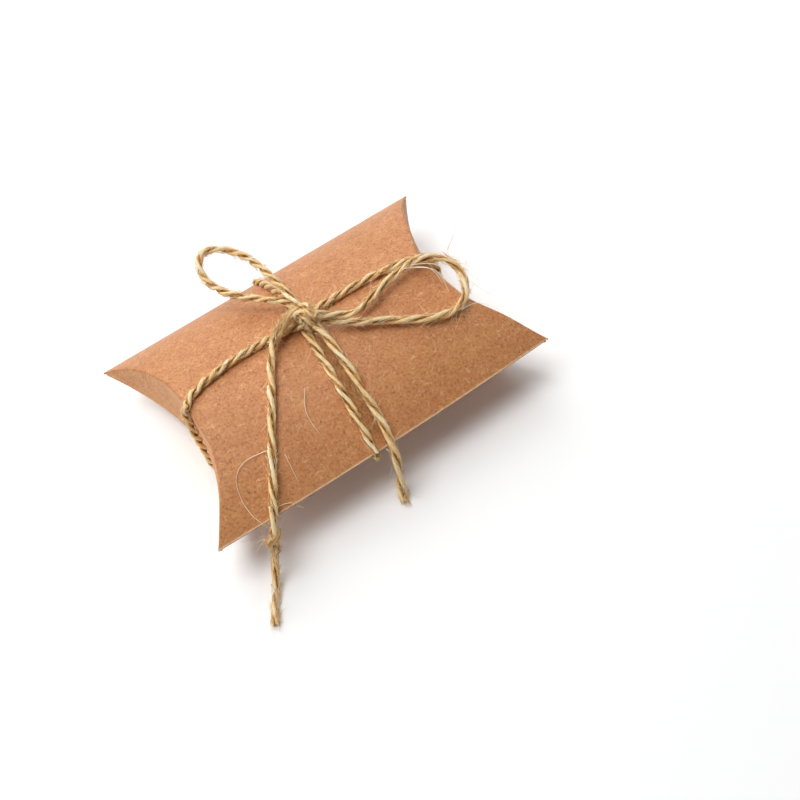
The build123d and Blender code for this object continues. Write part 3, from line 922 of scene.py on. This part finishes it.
def crosswise_line(outwards, start, edge_x, crossing):
    """From a start by the knot over the panel, round the card's edge at edge_x and back under it to the
    crossing: an arc that keeps HUG off the skin, a small arc round the edge, and the lower arc."""
    lip = 0.0 if outwards > 0 else FRONT_LIP
    edge_y = back_fold if outwards > 0 else front_fold - lip
    level = 0.0 if outwards > 0 else front_rise
    tight = HUG - EDGE_BITE
    over_y = np.linspace(start[1], outwards * (SKIN + tight) * cos(back_angle) - lip, ARC_POINTS)
    over_z = np.sqrt((SKIN + hug_at(over_y, edge_y)) ** 2 - over_y**2) - DROP
    turn = np.linspace(back_angle, -back_angle, EDGE_POINTS)[1:-1]
    turn_y = edge_y + outwards * (FOLD + tight) * np.cos(turn)
    turn_z = level + (FOLD + tight) * np.sin(turn)
    under_y = np.linspace(over_y[-1], crossing[1], ARC_POINTS)
    under_z = DROP - np.sqrt((SKIN + hug_at(under_y, edge_y)) ** 2 - under_y**2)
    under_z = np.maximum(under_z, UNDER - TIP)
    over_x = np.linspace(start[0], edge_x, ARC_POINTS)
    under_x = np.linspace(edge_x, crossing[0], ARC_POINTS)
    over_z = over_z - handled(over_x, over_y)
    x = np.concatenate([over_x, np.full(len(turn), edge_x), under_x])
    y = np.concatenate([over_y, turn_y, under_y])
    z = TIP + np.concatenate([over_z, turn_z, under_z])
    return np.stack([x, widened(x, y), z], axis=1)


# %% Pieces of the tie
TURN_LEAD = 0.4 * MM
FOOT = 8 * MM  # below this height the end strand is a piece of its own
FOOT_REACH = 10 * MM  # and this far under the box it stays in place
CROSSING_REACH = 7.0 * MM
CROSSING_SIDE = 3.2 * MM
CROSSING_LAY = 6.0 * MM
PRESSED_END = 0.8 * MM
TIE_SIZE = 1.04  # jute is fluffy, so it looks a little thicker than its core
SQUEEZE = 0.25  # it is this much thinner where it bends over the front or back edge
SQUEEZE_REACH = 2.0 * MM
ways = {}


def share_at(line, test):
    """The share of the line's points that come before the first one that passes a test."""
    return float(np.argmax(test(line))) / (len(line) - 1)


def cut_pieces(way, line, lay, cuts, seed):
    """Twist a whole way once, and make a piece of each stretch, given as node, first and last share. The
    twine is squeezed thinner, as a bell, where it bends over the front or back edge."""
    even = even_line(line)
    ways[way] = even
    at_edge = np.exp(-np.square((even[:, 2] - TIP) / SQUEEZE_REACH)) * (np.abs(even[:, 1]) > back_fold)
    tubes, strands, tones = twist(even, lay, size=TIE_SIZE * (1 - SQUEEZE * at_edge), seed=seed)
    made = []
    for node, start, stop in cuts(even):
        rows = slice(int(round(start * (len(even) - 1))), int(round(stop * (len(even) - 1))) + 1)
        bundle = Bundle().add(tubes[:, rows], strands[:, rows], tones[:, rows])
        part = "_foot" if made and node in made[-1]["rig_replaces"] else ""
        piece = bundle.piece(f"tie_{node.removeprefix('twine_')}{part}")
        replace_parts(piece, node)
        made.append(piece)
    return made


def lengthwise_cuts(side_name):
    def cuts(even):
        end = -1 if side_name == "left" else 1
        crease_x = FACE - float(drawn_in(even[-1, 1], end))
        over = share_at(even, lambda p: np.abs(p[:, 0]) > crease_x - TURN_LEAD)
        foot = share_at(even, lambda p: (np.abs(p[:, 0]) > crease_x) & (p[:, 2] < FOOT))
        under = 1 - share_at(even[::-1], lambda p: np.abs(p[:, 0]) > FACE - FOOT_REACH)
        meets = 1 - share_at(even[::-1], lambda p: np.abs(p[:, 0]) > CROSSING_REACH)
        end_node = f"twine_end_{side_name}"
        nodes = (f"twine_top_{side_name}", end_node, end_node, f"twine_under_{side_name}")
        return zip(nodes, (0.0, over, foot, under), (over, foot, under, meets))

    return cuts


def crosswise_cuts(side_name):
    def cuts(even):
        below = share_at(even, lambda p: p[:, 2] < TIP - PRESSED_END)
        return zip((f"twine_{side_name}", f"twine_under_{side_name}"), (0.0, below), (below, 1.0))

    return cuts


def roll_twine(piece):
    """Bake the piece's transform into its mesh."""
    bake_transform(piece)


LENGTHWISE_LAY = {-1: 7.0 * MM, 1: 9.0 * MM}  # one turn of the plies takes this length
for side_name, end, seed in (("left", -1, 11), ("right", 1, 12)):
    line = lengthwise_line(end, f"twine_end_{side_name}")
    pieces = cut_pieces(side_name, line, LENGTHWISE_LAY[end], lengthwise_cuts(side_name), seed)
    over, over_end, foot, under = pieces
    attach(over, "sleeve")
    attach(under, "sleeve")
    roll_twine(over_end)
    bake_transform(foot)

FRONT_CORNER = (HALF_GAP, KNOT_Y + HALF_GAP)
BACK_CORNER = (-HALF_GAP, KNOT_Y - HALF_GAP)
FRONT_START = (-1.5 * MM, FRONT_CORNER[1])
FRONT_EDGE_X = -4.5 * MM
BACK_EDGE_X = -1.2 * MM
BACK_START = (0.6 * MM, BACK_CORNER[1])
FRONT_LAY = 11.5 * MM
BACK_LAY = 8.0 * MM


def leaving(corner, outwards, slant):
    """Where a crosswise strand leaves the lower crossing."""
    return corner[0] - CROSSING_SIDE * sin(slant), corner[1] + outwards * CROSSING_SIDE * cos(slant)


front_line = crosswise_line(-1, FRONT_START, FRONT_EDGE_X, leaving(FRONT_CORNER, -1, FRONT_SLANT))
back_line = crosswise_line(1, BACK_START, BACK_EDGE_X, leaving(BACK_CORNER, 1, BACK_SLANT))
crosswise_pieces = cut_pieces("front", front_line, FRONT_LAY, crosswise_cuts("front"), 13)
crosswise_pieces += cut_pieces("back", back_line, BACK_LAY, crosswise_cuts("back"), 14)
for piece in crosswise_pieces:
    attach(piece, "sleeve")
print("parcel tie", {name: round(line_length(line) / MM, 1) for name, line in ways.items()})

# %% [markdown]
# The strand over each end is two pieces: the part that runs down the flap, and its foot, a second piece
# between the flap's free edge and the underside of the box.
#
# ### The crossing underneath
# Under the box the two strands don't cross like a plus sign: each one comes from an end, hooks round the
# other and leaves for an edge. So the crossing is two bent cords side by side, pressed flat by the weight
# of the box.

# %% Lower crossing
crossing = Bundle()
crossing_ways = ((-1, FRONT_CORNER, -1, FRONT_SLANT, 15), (1, BACK_CORNER, 1, BACK_SLANT, 16))
for end, corner, outwards, slant, seed in crossing_ways:
    level = UNDER / MM
    middle = np.array(corner) / MM
    arrival = np.array([end * CROSSING_REACH, corner[1]]) / MM
    departure = np.array(leaving(corner, outwards, slant)) / MM
    route = [
        (*arrival, level),
        (*(0.6 * arrival + 0.4 * middle), level),
        (*middle, level),
        (*(0.4 * middle + 0.6 * departure), level),
        (*departure, level),
    ]
    crossing.add(*twist(even_line(smooth_line(route)), CROSSING_LAY, seed=seed))
tie_crossing = crossing.piece("tie_crossing")
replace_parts(tie_crossing, "twine_crossing")
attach(tie_crossing, "sleeve")

# %% [markdown]
# ### The bow
# The bow's two loops and two tails lie free, so each is made as a cord of its own, and its length is
# printed. Its route is the one that the solid model was built on, moved a little after the photograph. The
# left loop stands out beyond the back edge. The right loop lies along the card. The tails go over the
# front edge and down to the table, and both are frayed at the end. The left one is worn thin past its knot.

# %% Routes of the free cords, in millimetres
ROUTES = {
    "bow_loop_left": [
        (-0.3, 2.6, 28.9), (-0.4, 8.4, 29.7), (-1.0, 15.2, 29.6), (-1.7, 21.6, 29.2),
        (-3.5, 27.1, 29.1), (-6.5, 31.9, 29.0), (-10.3, 33.8, 28.5), (-12.8, 31.4, 27.7),
        (-13.5, 27.8, 26.8), (-12.7, 23.8, 26.1), (-10.1, 19.1, 25.8), (-6.8, 14.8, 26.1),
        (-3.7, 10.8, 26.6), (-0.4, 6.9, 27.0), (0.3, 2.7, 26.9),
    ],
    "bow_loop_right": [
        (1.5, -0.9, 29.1), (5.4, -3.2, 27.6), (9.2, -5.0, 26.7), (13.8, -4.0, 26.4),
        (18.4, -2.4, 26.6), (23.1, -1.7, 26.8), (27.8, -1.0, 27.0), (32.6, -2.3, 26.8),
        (35.8, -5.3, 26.0), (36.5, -9.5, 24.8), (34.8, -13.6, 23.7), (32.0, -16.1, 22.8),
        (26.6, -16.4, 22.7), (19.6, -13.2, 23.9), (13.2, -9.2, 25.2), (7.2, -6.2, 26.1),
        (2.1, -1.2, 27.0),
    ],
    "tail_left": [
        (-1.2, 3.2, 28.2), (-3.4, 2.8, 28.3), (-5.6, 1.9, 27.9), (-8.0, 0.8, 27.2),
        (-10.6, -0.7, 26.4), (-12.7, -3.7, 25.7), (-15.2, -7.8, 24.9), (-18.2, -12.7, 23.7),
        (-21.6, -17.8, 21.9), (-25.2, -23.1, 19.6), (-28.8, -28.7, 17.3), (-32.2, -33.3, 14.0),
        (-34.4, -34.9, 9.2), (-36.1, -36.7, 5.0), (-38.3, -39.3, 1.8), (-40.8, -42.8, 0.95),
        (-43.4, -47.2, 0.96),
    ],
    "tail_right": [
        (0.5, -1.3, 27.1), (0.9, -5.5, 26.2), (1.2, -10.2, 25.0), (1.0, -15.2, 23.7),
        (0.6, -20.4, 21.8), (0.5, -25.4, 19.2), (0.0, -30.6, 16.8), (-0.8, -34.6, 12.9),
        (-1.6, -35.8, 8.2), (-2.2, -36.6, 3.9), (-2.9, -37.8, 1.5), (-3.7, -39.6, 0.98),
    ],
}
LAYS = {
    "bow_loop_left": 8.6 * MM,
    "bow_loop_right": 13.0 * MM,
    "tail_left": 14.0 * MM,
    "tail_right": 15.5 * MM,
}
stopper_low, stopper_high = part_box("tail_knot")
stopper_middle = np.array((stopper_low + stopper_high) / 2)
cord_lines = {name: even_line(smooth_line(route)) for name, route in ROUTES.items()}
tail_line = cord_lines["tail_left"]
stopper_at = int(np.argmin(np.linalg.norm(tail_line - stopper_middle, axis=1)))
LOOP_SIZE = 1.05
FRAYED = 3.0 * MM  # over this length a tail thins to its end
FRAYED_SIZE = 0.75
FRAYED_GROWTH = 0.33
WORN_THIN = 0.25  # the left tail loses this share past its knot
WORN_OVER = 2 * MM  # over this length
LOOSE_END = 0.2  # the right tail has come loose near its end, and is thicker there
LOOSE_END_AT = 5 * MM
LOOSE_END_REACH = 6 * MM


def worn_size(name, line):
    """The size of the twine along a cord: LOOP_SIZE in a loop, and thinner towards the end of a tail. The
    right tail swells where it has come loose, and the left one is thin past its knot."""
    left = (len(line) - 1 - np.arange(len(line))) * STEP
    tail = FRAYED_SIZE + FRAYED_GROWTH * np.clip(left / FRAYED, 0, 1) ** 0.5
    size = np.where(name.startswith("tail"), tail, LOOP_SIZE)
    if name == "tail_right":
        size = size + LOOSE_END * np.exp(-np.square((left - LOOSE_END_AT) / LOOSE_END_REACH))
    if name == "tail_left":
        past = np.clip((np.arange(len(line)) - stopper_at) * STEP / WORN_OVER, 0, 1)
        size = size * (1 - WORN_THIN * past)
    return size


cords = {}
for seed, (name, line) in enumerate(cord_lines.items(), 21):
    plies = twist(line, LAYS[name], phase=seed, size=worn_size(name, line), seed=seed)
    cords[name] = Bundle().add(*plies).piece(f"cord_{name}")
    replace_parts(cords[name], name)
    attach(cords[name], "sleeve")
    print(name, round(line_length(line) / MM, 1), "mm")

# %% [markdown]
# ### Knots
# The bow's knot is the same twine wound over itself. Inside it the strands of the loops and tails pass
# from side to side, and two turns go over them. Each is a short route of its own, so the knot is real
# crossings and not a lump with a bump map. The left tail also has a small overhand knot near its end,
# which is one and a half tight turns round the tail.

# %% The bow's knot, with its routes in millimetres from its middle
KNOT_ROUTES = [
    [(-0.3, 2.9, 1.4), (-0.1, 1.4, 1.5), (0.5, 0.2, 1.4), (1.0, -0.9, 1.5), (1.9, -2.2, 1.5)],
    [(0.3, 2.9, -0.5), (0.6, 1.2, 0.0), (1.2, -0.4, -0.1), (2.6, -2.6, -0.4)],
    [(-2.2, -0.1, -0.1), (-0.5, 0.5, 0.7), (0.8, 0.5, 0.4), (1.9, 0.3, -1.0)],
    [(0.5, -2.6, -0.4), (0.2, -0.6, 0.4), (-0.5, 0.9, 0.3), (-1.2, 2.2, -0.8)],
    [
        (0.9, 3.0, -1.4), (0.9, 2.4, 1.0), (0.8, 1.0, 2.5), (0.6, -0.5, 2.8),
        (0.5, -1.9, 1.9), (0.5, -2.5, 0.0), (0.4, -2.2, -1.8),
    ],
    [
        (-2.1, 1.7, -1.8), (-2.2, 1.6, 0.4), (-1.5, 1.0, 1.7), (-0.7, -0.2, 2.0),
        (-0.5, -1.6, 1.2), (-0.6, -2.4, -0.4), (-0.5, -2.2, -1.9),
    ],
    [(-2.4, 0.2, -1.9), (-1.9, -0.9, -1.0), (-0.4, -1.6, -0.9), (1.6, -1.5, -1.2), (2.6, -0.6, -1.9)],
]
KNOT_LAY = 7.0 * MM
knot_middle = np.array([KNOT_X, KNOT_Y, KNOT_Z]) / MM
knot_lines = [even_line(smooth_line(knot_middle + np.array(route))) for route in KNOT_ROUTES]
knot = Bundle()
for seed, line in enumerate(knot_lines, 31):
    knot.add(*twist(line, KNOT_LAY, phase=seed, seed=seed))
bow_knot = knot.piece("cord_bow_knot")
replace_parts(bow_knot, "bow_knot")
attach(bow_knot, "sleeve")

# %% The overhand knot on the left tail
STOPPER_HALF = 3.2 * MM
STOPPER_TURNS = 1.5
STOPPER_OUT = 0.72 * MM
STOPPER_POINTS = 90
STOPPER_SIZE = 0.85
STOPPER_LAY = 8.0 * MM


def stopper_line(line, at):
    """A helix round the tail that widens in its middle, so that it starts and ends in the tail."""
    side, other, _ = cross_frame(line)
    spread = np.linspace(-1, 1, STOPPER_POINTS)
    marks = np.clip(at + spread * STOPPER_HALF / STEP, 0, len(line) - 1)
    carried = [read_at(marks, part) for part in (line, side, other)]
    swing = (STOPPER_TURNS * pi * (spread + 1) + 2.2)[:, None]
    out = (STOPPER_OUT * np.clip(1 - spread**2, 0, 1) ** 0.5)[:, None]
    return carried[0] + out * (np.cos(swing) * carried[1] + np.sin(swing) * carried[2])


stopper = even_line(stopper_line(tail_line, stopper_at))
stopper_plies = twist(stopper, STOPPER_LAY, size=STOPPER_SIZE, seed=41)
tail_knot = Bundle().add(*stopper_plies).piece("cord_tail_knot")
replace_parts(tail_knot, "tail_knot")
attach(tail_knot, "sleeve")

# %% [markdown]
# ### Loose fibres
# What makes jute look like jute is its fuzz. Fibres stand off the twine everywhere, most of them short
# and leaning along it, and a few long ones curl away. As many lie on the twine, each at its own angle to
# the lay. All are three-sided tubes of a few rings, bent as a parabola. Every line of twine draws its own
# fibres from a seeded generator, so they come out the same each time. A handful of long fibres that stand
# out in the picture have routes of their own.

# %% Fuzz helpers
HAIR_RINGS = 7
HAIR_RADIUS = 0.05 * MM
HAIR_TONE = 0.6
HAIR_SIDES = 3
LYING_RADIUS = 0.07 * MM
LYING_TONE = 0.5
CARD_CLEARANCE = 0.12 * MM
BELOW_TIPS = 2 * MM  # fibres lower than this under the tips are beside the card, not over it
ROOT_OUT = 0.7 * MM  # the fibres that stand off start this far from the middle of the twine
LYING_OUT = 0.92 * MM  # and the ones that lie on it are this far out


def hairs(line, count, longest, seed, spread=1.0):
    """Middle lines of count fibres that start on the twine round a line. A fibre leaves leaning outwards
    and bends: start + (d s + b s^2) times its length, with s from 0 to 1."""
    draws = np.random.default_rng(seed)
    side, other, tangent = cross_frame(line)
    row = draws.integers(1, len(line) - 1, count)
    angle = draws.uniform(0, 2 * pi, (count, 1))
    outward = side[row] * np.cos(angle) + other[row] * np.sin(angle)
    forward = tangent[row] * draws.choice([-1.0, 1.0], (count, 1))
    start_way = unit(forward + outward * draws.uniform(0.2, 1.0, (count, 1)) * spread)
    bend_way = unit(draws.normal(size=(count, 3)) + 0.5 * outward)
    size = longest * (0.25 + 0.75 * draws.random(count) ** 2.0)[:, None, None]
    share = np.linspace(0, 1, HAIR_RINGS)[None, :, None]
    bend = draws.uniform(0.1, 0.6, (count, 1, 1)) * size * share**2
    base = (line[row] + outward * ROOT_OUT)[:, None, :]
    return base + start_way[:, None, :] * size * share + bend_way[:, None, :] * bend


def lying(line, count, longest, seed, lay, out=LYING_OUT):
    """Middle lines of count fibres that lie on the twine: each follows the lay at its own angle, and its
    ends lift a little, as the square of the distance from its middle."""
    draws = np.random.default_rng(seed)
    side, other, _ = cross_frame(line)
    size = longest * draws.uniform(0.4, 1.0, (count, 1))
    start = draws.uniform(0, len(line) - 1, (count, 1))
    spread = np.linspace(-0.5, 0.5, HAIR_RINGS)[None, :]
    marks = np.clip(start + spread * size / STEP, 0, len(line) - 1)
    carried = [read_at(marks, part) for part in (line, side, other)]
    slant = draws.uniform(-0.5, 1.5, (count, 1))
    swing = (draws.uniform(0, 2 * pi, (count, 1)) - slant * 2 * pi * spread * size / lay)[..., None]
    lift = draws.uniform(0, 1.6, (count, 1)) ** 2 * size / 5
    away = (out * draws.uniform(0.86, 1.0, (count, 1)) + lift * np.square(spread) * 2)[..., None]
    return carried[0] + away * (np.cos(swing) * carried[1] + np.sin(swing) * carried[2])


def keep_off(centre):
    """Lift the fibres' points out of the card and off the floor."""
    x, y, z = centre[..., 0], centre[..., 1], centre[..., 2]
    y = np.clip(2 * y - widened(x, y), -EDGE, EDGE)
    over_card = (np.abs(y) < back_fold) & (np.abs(x) < end_reach(np.clip(y, -back_fold, back_fold)))
    skin = TIP + skin_height(y) - handled(x, y) + CARD_CLEARANCE
    lowest = np.where(over_card & (z > TIP - BELOW_TIPS), skin, CARD_CLEARANCE)
    return np.stack([x, centre[..., 1], np.maximum(z, lowest)], axis=-1)


def add_fibres(bundle, centre, radius=HAIR_RADIUS, tone=HAIR_TONE):
    """Thin three-sided tubes round rows of points, tapered to their ends, added to a bundle."""
    around = np.linspace(0, 2 * pi, HAIR_SIDES, endpoint=False)[None, None, :, None]
    way = unit(np.gradient(centre, axis=1))
    fixed = np.array([0.3, 0.5, 0.81])
    side = unit(fixed - way * (way @ fixed)[:, :, None])
    other = np.cross(way, side)
    thin = radius * (1 - 0.6 * np.linspace(0, 1, centre.shape[1]))[None, :, None, None]
    ring = side[:, :, None, :] * np.cos(around) + other[:, :, None, :] * np.sin(around)
    tubes = centre[:, :, None, :] + thin * ring
    numbers = np.arange(len(centre))[:, None, None, None]
    tones = (tone + 0.3 * np.sin(numbers * 2.4) + 0 * tubes)[..., 0]
    bundle.add(tubes, tubes * 300, tones)


# %% Fuzz on all the twine
TUFT = 45  # the left tail's first rows, beside the knot, are a thick tuft
fuzz = Bundle()
over_ends = {}
for side_name, end in (("left", -1), ("right", 1)):
    line = ways[side_name]
    beyond = np.abs(line[:, 0]) > FACE - float(drawn_in(line[-1, 1], end)) - TURN_LEAD
    over_ends[end] = line[: int(np.argmax(beyond))]
    on_flap = line[beyond & (line[:, 2] > FOOT) & (np.arange(len(line)) < len(line) / 2)]
    end_fuzz = Bundle()
    add_fibres(end_fuzz, hairs(on_flap, 60, 2.6 * MM, 44 + end))
    laid = lying(on_flap, 70, 3.0 * MM, 47 + end, LENGTHWISE_LAY[end])
    add_fibres(end_fuzz, laid, LYING_RADIUS, LYING_TONE)
    roll_twine(end_fuzz.piece(f"tie_fuzz_{side_name}", jute_fuzz))
left_loop, right_loop, left_tail, right_tail = cord_lines.values()
FUZZ_PLAN = [  # a line, how many fibres, the longest in millimetres, and how far they spread
    (over_ends[-1], 110, 3.4, 1.0),
    (over_ends[1], 110, 3.4, 1.0),
    (ways["front"], 120, 4.0, 1.0),
    (ways["back"], 110, 3.4, 1.0),
    (left_loop, 240, 3.4, 0.8),
    (right_loop, 340, 4.4, 0.8),
    (right_loop[150:260], 70, 9.0, 0.35),
    (left_tail[:TUFT], 110, 3.2, 1.8),
    (left_tail, 230, 3.6, 0.8),
    (right_tail, 160, 3.8, 0.8),
    (left_tail[stopper_at - 12 : stopper_at + 10], 70, 4.2, 2.2),
    (left_tail[-14:], 50, 2.8, 0.5),
    (right_tail[-14:], 60, 2.8, 0.5),
    (knot_lines[4], 110, 4.6, 1.8),
    (knot_lines[5], 90, 4.0, 1.8),
]
for seed, (line, count, longest, spread) in enumerate(FUZZ_PLAN, 51):
    add_fibres(fuzz, keep_off(hairs(line, count, longest * MM, seed, spread)))
LYING_PLAN = [  # a line, how many fibres, the longest in millimetres, the lay, and how far out they lie
    (over_ends[-1], 170, 3.2, LENGTHWISE_LAY[-1]),
    (over_ends[1], 150, 3.2, LENGTHWISE_LAY[1]),
    (ways["front"], 190, 3.6, FRONT_LAY),
    (ways["back"], 130, 3.2, BACK_LAY),
    (left_loop, 300, 3.4, LAYS["bow_loop_left"]),
    (right_loop, 400, 3.8, LAYS["bow_loop_right"]),
    (left_tail, 360, 3.6, LAYS["tail_left"]),
    (right_tail, 280, 3.6, LAYS["tail_right"]),
    (stopper, 170, 3.4, 16 * MM),
    (left_tail[:TUFT], 90, 4.0, 30 * MM),
    (left_tail[:TUFT], 70, 4.0, 30 * MM, 1.3 * MM),
]
for seed, (line, count, longest, *lay) in enumerate(LYING_PLAN, 91):
    add_fibres(fuzz, keep_off(lying(line, count, longest * MM, seed, *lay)), LYING_RADIUS, LYING_TONE)
for seed, line in enumerate(knot_lines, 111):
    add_fibres(fuzz, keep_off(lying(line, 34, 3.0 * MM, seed, KNOT_LAY)), LYING_RADIUS, LYING_TONE)
print("fuzz points", fuzz.count)

# %% [markdown]
# The front strand and the right tail run side by side, and loose fibres have matted between them, close
# to the card. Such a fibre has its middle at a random place between the two and runs mostly along them.

# %% The mat between two strands
MAT_FIBRES = 260
MAT_SINKS = 0.6 * MM
MAT_RADIUS = 0.045 * MM
MAT_TONE = 0.1
mat_draws = np.random.default_rng(80)
mat_share = mat_draws.uniform(0.12, 0.92, MAT_FIBRES)
front_run = ways["front"][: int(0.48 * len(ways["front"]))]
tail_run = right_tail[: int(0.64 * len(right_tail))]
first = front_run[(mat_share * (len(front_run) - 1)).astype(int)]
second = tail_run[(mat_share * (len(tail_run) - 1)).astype(int)]
between = mat_draws.uniform(0.05, 0.95, (MAT_FIBRES, 1))
mat_base = first + (second - first) * between
mat_way = unit(front_run[-1] - front_run[0]) + mat_draws.normal(size=(MAT_FIBRES, 3)) * 0.35
mat_bend = mat_draws.normal(size=(MAT_FIBRES, 3)) * 0.9 * MM
mat_size = mat_draws.uniform(1.5, 5.0, (MAT_FIBRES, 1, 1)) * MM
mat_spread = np.linspace(-0.5, 0.5, HAIR_RINGS)[None, :, None]
mat = mat_base[:, None, :] + mat_way[:, None, :] * mat_size * mat_spread
mat = mat + mat_bend[:, None, :] * (4 * mat_spread**2)
mat[..., 2] -= MAT_SINKS
add_fibres(fuzz, keep_off(mat), MAT_RADIUS, MAT_TONE)

# %% Long fibres with their own routes, in millimetres
LONG_RADIUS = 0.11 * MM
LONG_TONE = 0.95
LONG_FIBRES = [
    [
        (-22.9, -20.4, 19.9), (-27.4, -19.5, 20.7), (-31.7, -19.7, 20.4), (-34.8, -22.6, 18.9),
        (-35.2, -26.9, 16.6),
    ],
    [(-35.1, -25.6, 17.2), (-35.2, -28.6, 15.4), (-34.2, -31.0, 13.6), (-33.4, -32.4, 12.6)],
    [(-21.7, -22.5, 19.0), (-22.1, -25.5, 17.6), (-22.5, -28.6, 15.2)],
    [(36.0, -5.0, 29.0), (38.6, -3.4, 29.6), (40.8, -1.9, 30.1)],
    [(26.0, -3.2, 28.4), (30.2, -6.0, 28.4), (31.0, -10.0, 28.2), (29.6, -14.4, 27.6)],
    [(27.0, -3.0, 28.6), (31.4, -5.4, 28.6), (32.6, -9.6, 28.2), (31.6, -14.0, 27.8)],
    [(24.6, -2.6, 28.6), (29.0, -4.6, 28.4), (30.6, -8.0, 28.2), (29.8, -11.6, 27.8)],
    [(30.0, -18.6, 24.6), (33.4, -18.0, 24.0), (36.0, -19.4, 22.8), (38.0, -21.6, 21.4)],
    [(-9.8, -13.2, 23.2), (-12.0, -16.0, 22.4), (-13.2, -19.4, 21.2), (-12.8, -23.4, 19.2)],
    [(-34.7, -32.1, 9.7), (-36.7, -31.2, 9.7), (-38.5, -30.6, 9.6), (-39.9, -29.9, 9.7)],
    [(-34.9, -32.4, 9.4), (-36.5, -32.0, 9.3), (-37.9, -31.9, 8.9), (-39.4, -32.0, 8.5)],
    [(-34.9, -32.4, 9.4), (-37.2, -32.8, 8.7), (-38.6, -33.6, 8.0)],
    [
        (-30.1, -30.3, 12.0), (-28.4, -30.3, 12.5), (-26.8, -30.7, 12.6), (-25.4, -31.4, 12.5),
        (-24.5, -32.7, 12.0),
    ],
    [(-30.8, -31.1, 11.3), (-29.8, -31.3, 11.4), (-28.9, -31.9, 11.3)],
    [(-31.3, -32.1, 10.5), (-30.1, -32.0, 10.9), (-29.2, -32.0, 11.2)],
    [(-31.9, -32.6, 10.1), (-31.0, -33.2, 9.9), (-30.4, -34.1, 9.5)],
    [(-1.1, -32.1, 6.5), (-2.5, -33.1, 5.6), (-3.4, -33.9, 4.8)],
    [(-2.5, -37.2, 3.0), (-4.4, -37.3, 2.4), (-5.8, -37.6, 1.9)],
    [(-3.1, -38.7, 1.9), (-3.3, -39.9, 1.0), (-3.0, -41.1, 0.4)],
]
for route in LONG_FIBRES:
    line = smooth_line(route)
    spaced = read_at(np.linspace(0, len(line) - 1, HAIR_RINGS * 3), line)
    add_fibres(fuzz, keep_off(spaced[None]), LONG_RADIUS, LONG_TONE)

twine_fuzz = fuzz.piece("cord_fuzz", jute_fuzz)
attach(twine_fuzz, "sleeve")
print("fuzz faces", len(twine_fuzz.data.polygons))

for name, piece in cords.items():
    line = cord_lines[name]

# %% [markdown]
# ## Floor and light
# The picture is a cut-out on white, with a soft grey shadow close to the box. A nearly white floor and a
# broad lamp high above give both. A weaker lamp behind the box brightens its back, so that the front falls
# off into a deeper brown, and a small one lights the left end. Together with the world they are as bright
# as it takes for a colour to come out about as it is written. What the floor still lacks to be
# white comes from a faint glow that only the camera and reflections see. Farther out, where the lamps
# don't reach, the floor turns from lit to glowing, and the world beyond it is white in the same way.

# %% Floor
FLOOR_SIZE = 1.5
FLOOR_LEVEL = -0.01 * MM  # just under the box, so that the two don't touch
LIT_TO = 0.16  # from here the floor turns from lit to glowing
GLOWING_FROM = 0.5
FLOOR_GLOW = 0.05  # for the camera and for reflections alone
BLACK = (0.0, 0.0, 0.0, 1.0)
WHITE = (1.0, 1.0, 1.0, 1.0)
floor_recipe = Recipe("floor")
floor_place = floor_recipe.node("ShaderNodeTexCoord", "Object")
distance = floor_recipe.node("ShaderNodeVectorMath", "Value", {"operation": "LENGTH"}, {0: floor_place})
far_away = floor_recipe.ramp(distance, (LIT_TO, 0.0), (GLOWING_FROM, 1.0))
glow_share = floor_recipe.seen() * (FLOOR_GLOW + (1 - FLOOR_GLOW) * far_away)
floor_glow = floor_recipe.blend(glow_share, BLACK, WHITE)
floor_colour = floor_recipe.blend(far_away, (0.98, 0.985, 0.985, 1.0), BLACK)
floor_recipe.shade(Base_Color=floor_colour, Roughness=1.0, Specular_IOR_Level=0.0)
floor_recipe.shade(Emission_Color=floor_glow, Emission_Strength=1.0)
corners = np.array([[-1, -1, 0], [1, -1, 0], [1, 1, 0], [-1, 1, 0]]) * FLOOR_SIZE
corners[:, 2] = FLOOR_LEVEL
floor = make_piece("floor", corners, [[0, 1, 2, 3]], [floor_recipe.material], False)


# %% Lamps and world
def add_lamp(name, place, size, power):
    """A square lamp at a place in metres, turned towards the box."""
    lamp = add_object(name, bpy.data.lights.new(name, "AREA"))
    lamp.data.size = size
    lamp.data.energy = power
    lamp.location = place
    lamp.rotation_euler = (-Vector(place)).to_track_quat("-Z", "Y").to_euler()


add_lamp("key", (-0.16, 0.13, 0.93), 0.6, 6.7)
add_lamp("side", (-0.80, 0.12, 0.26), 0.4, 1.5)
add_lamp("rim", (0.12, 0.72, 0.60), 0.7, 4.3)
WORLD_LEVEL = 0.10
world = bpy.data.worlds.new("world")
world.use_nodes = True
background = world.node_tree.nodes["Background"]
background.inputs["Color"].default_value = WHITE
world_graph = Graph(world.node_tree)
world_graph.feed(background.inputs["Strength"], WORLD_LEVEL + world_graph.seen() * (1 - WORLD_LEVEL))
bpy.context.scene.world = world
bpy.context.scene.view_settings.view_transform = "Standard"
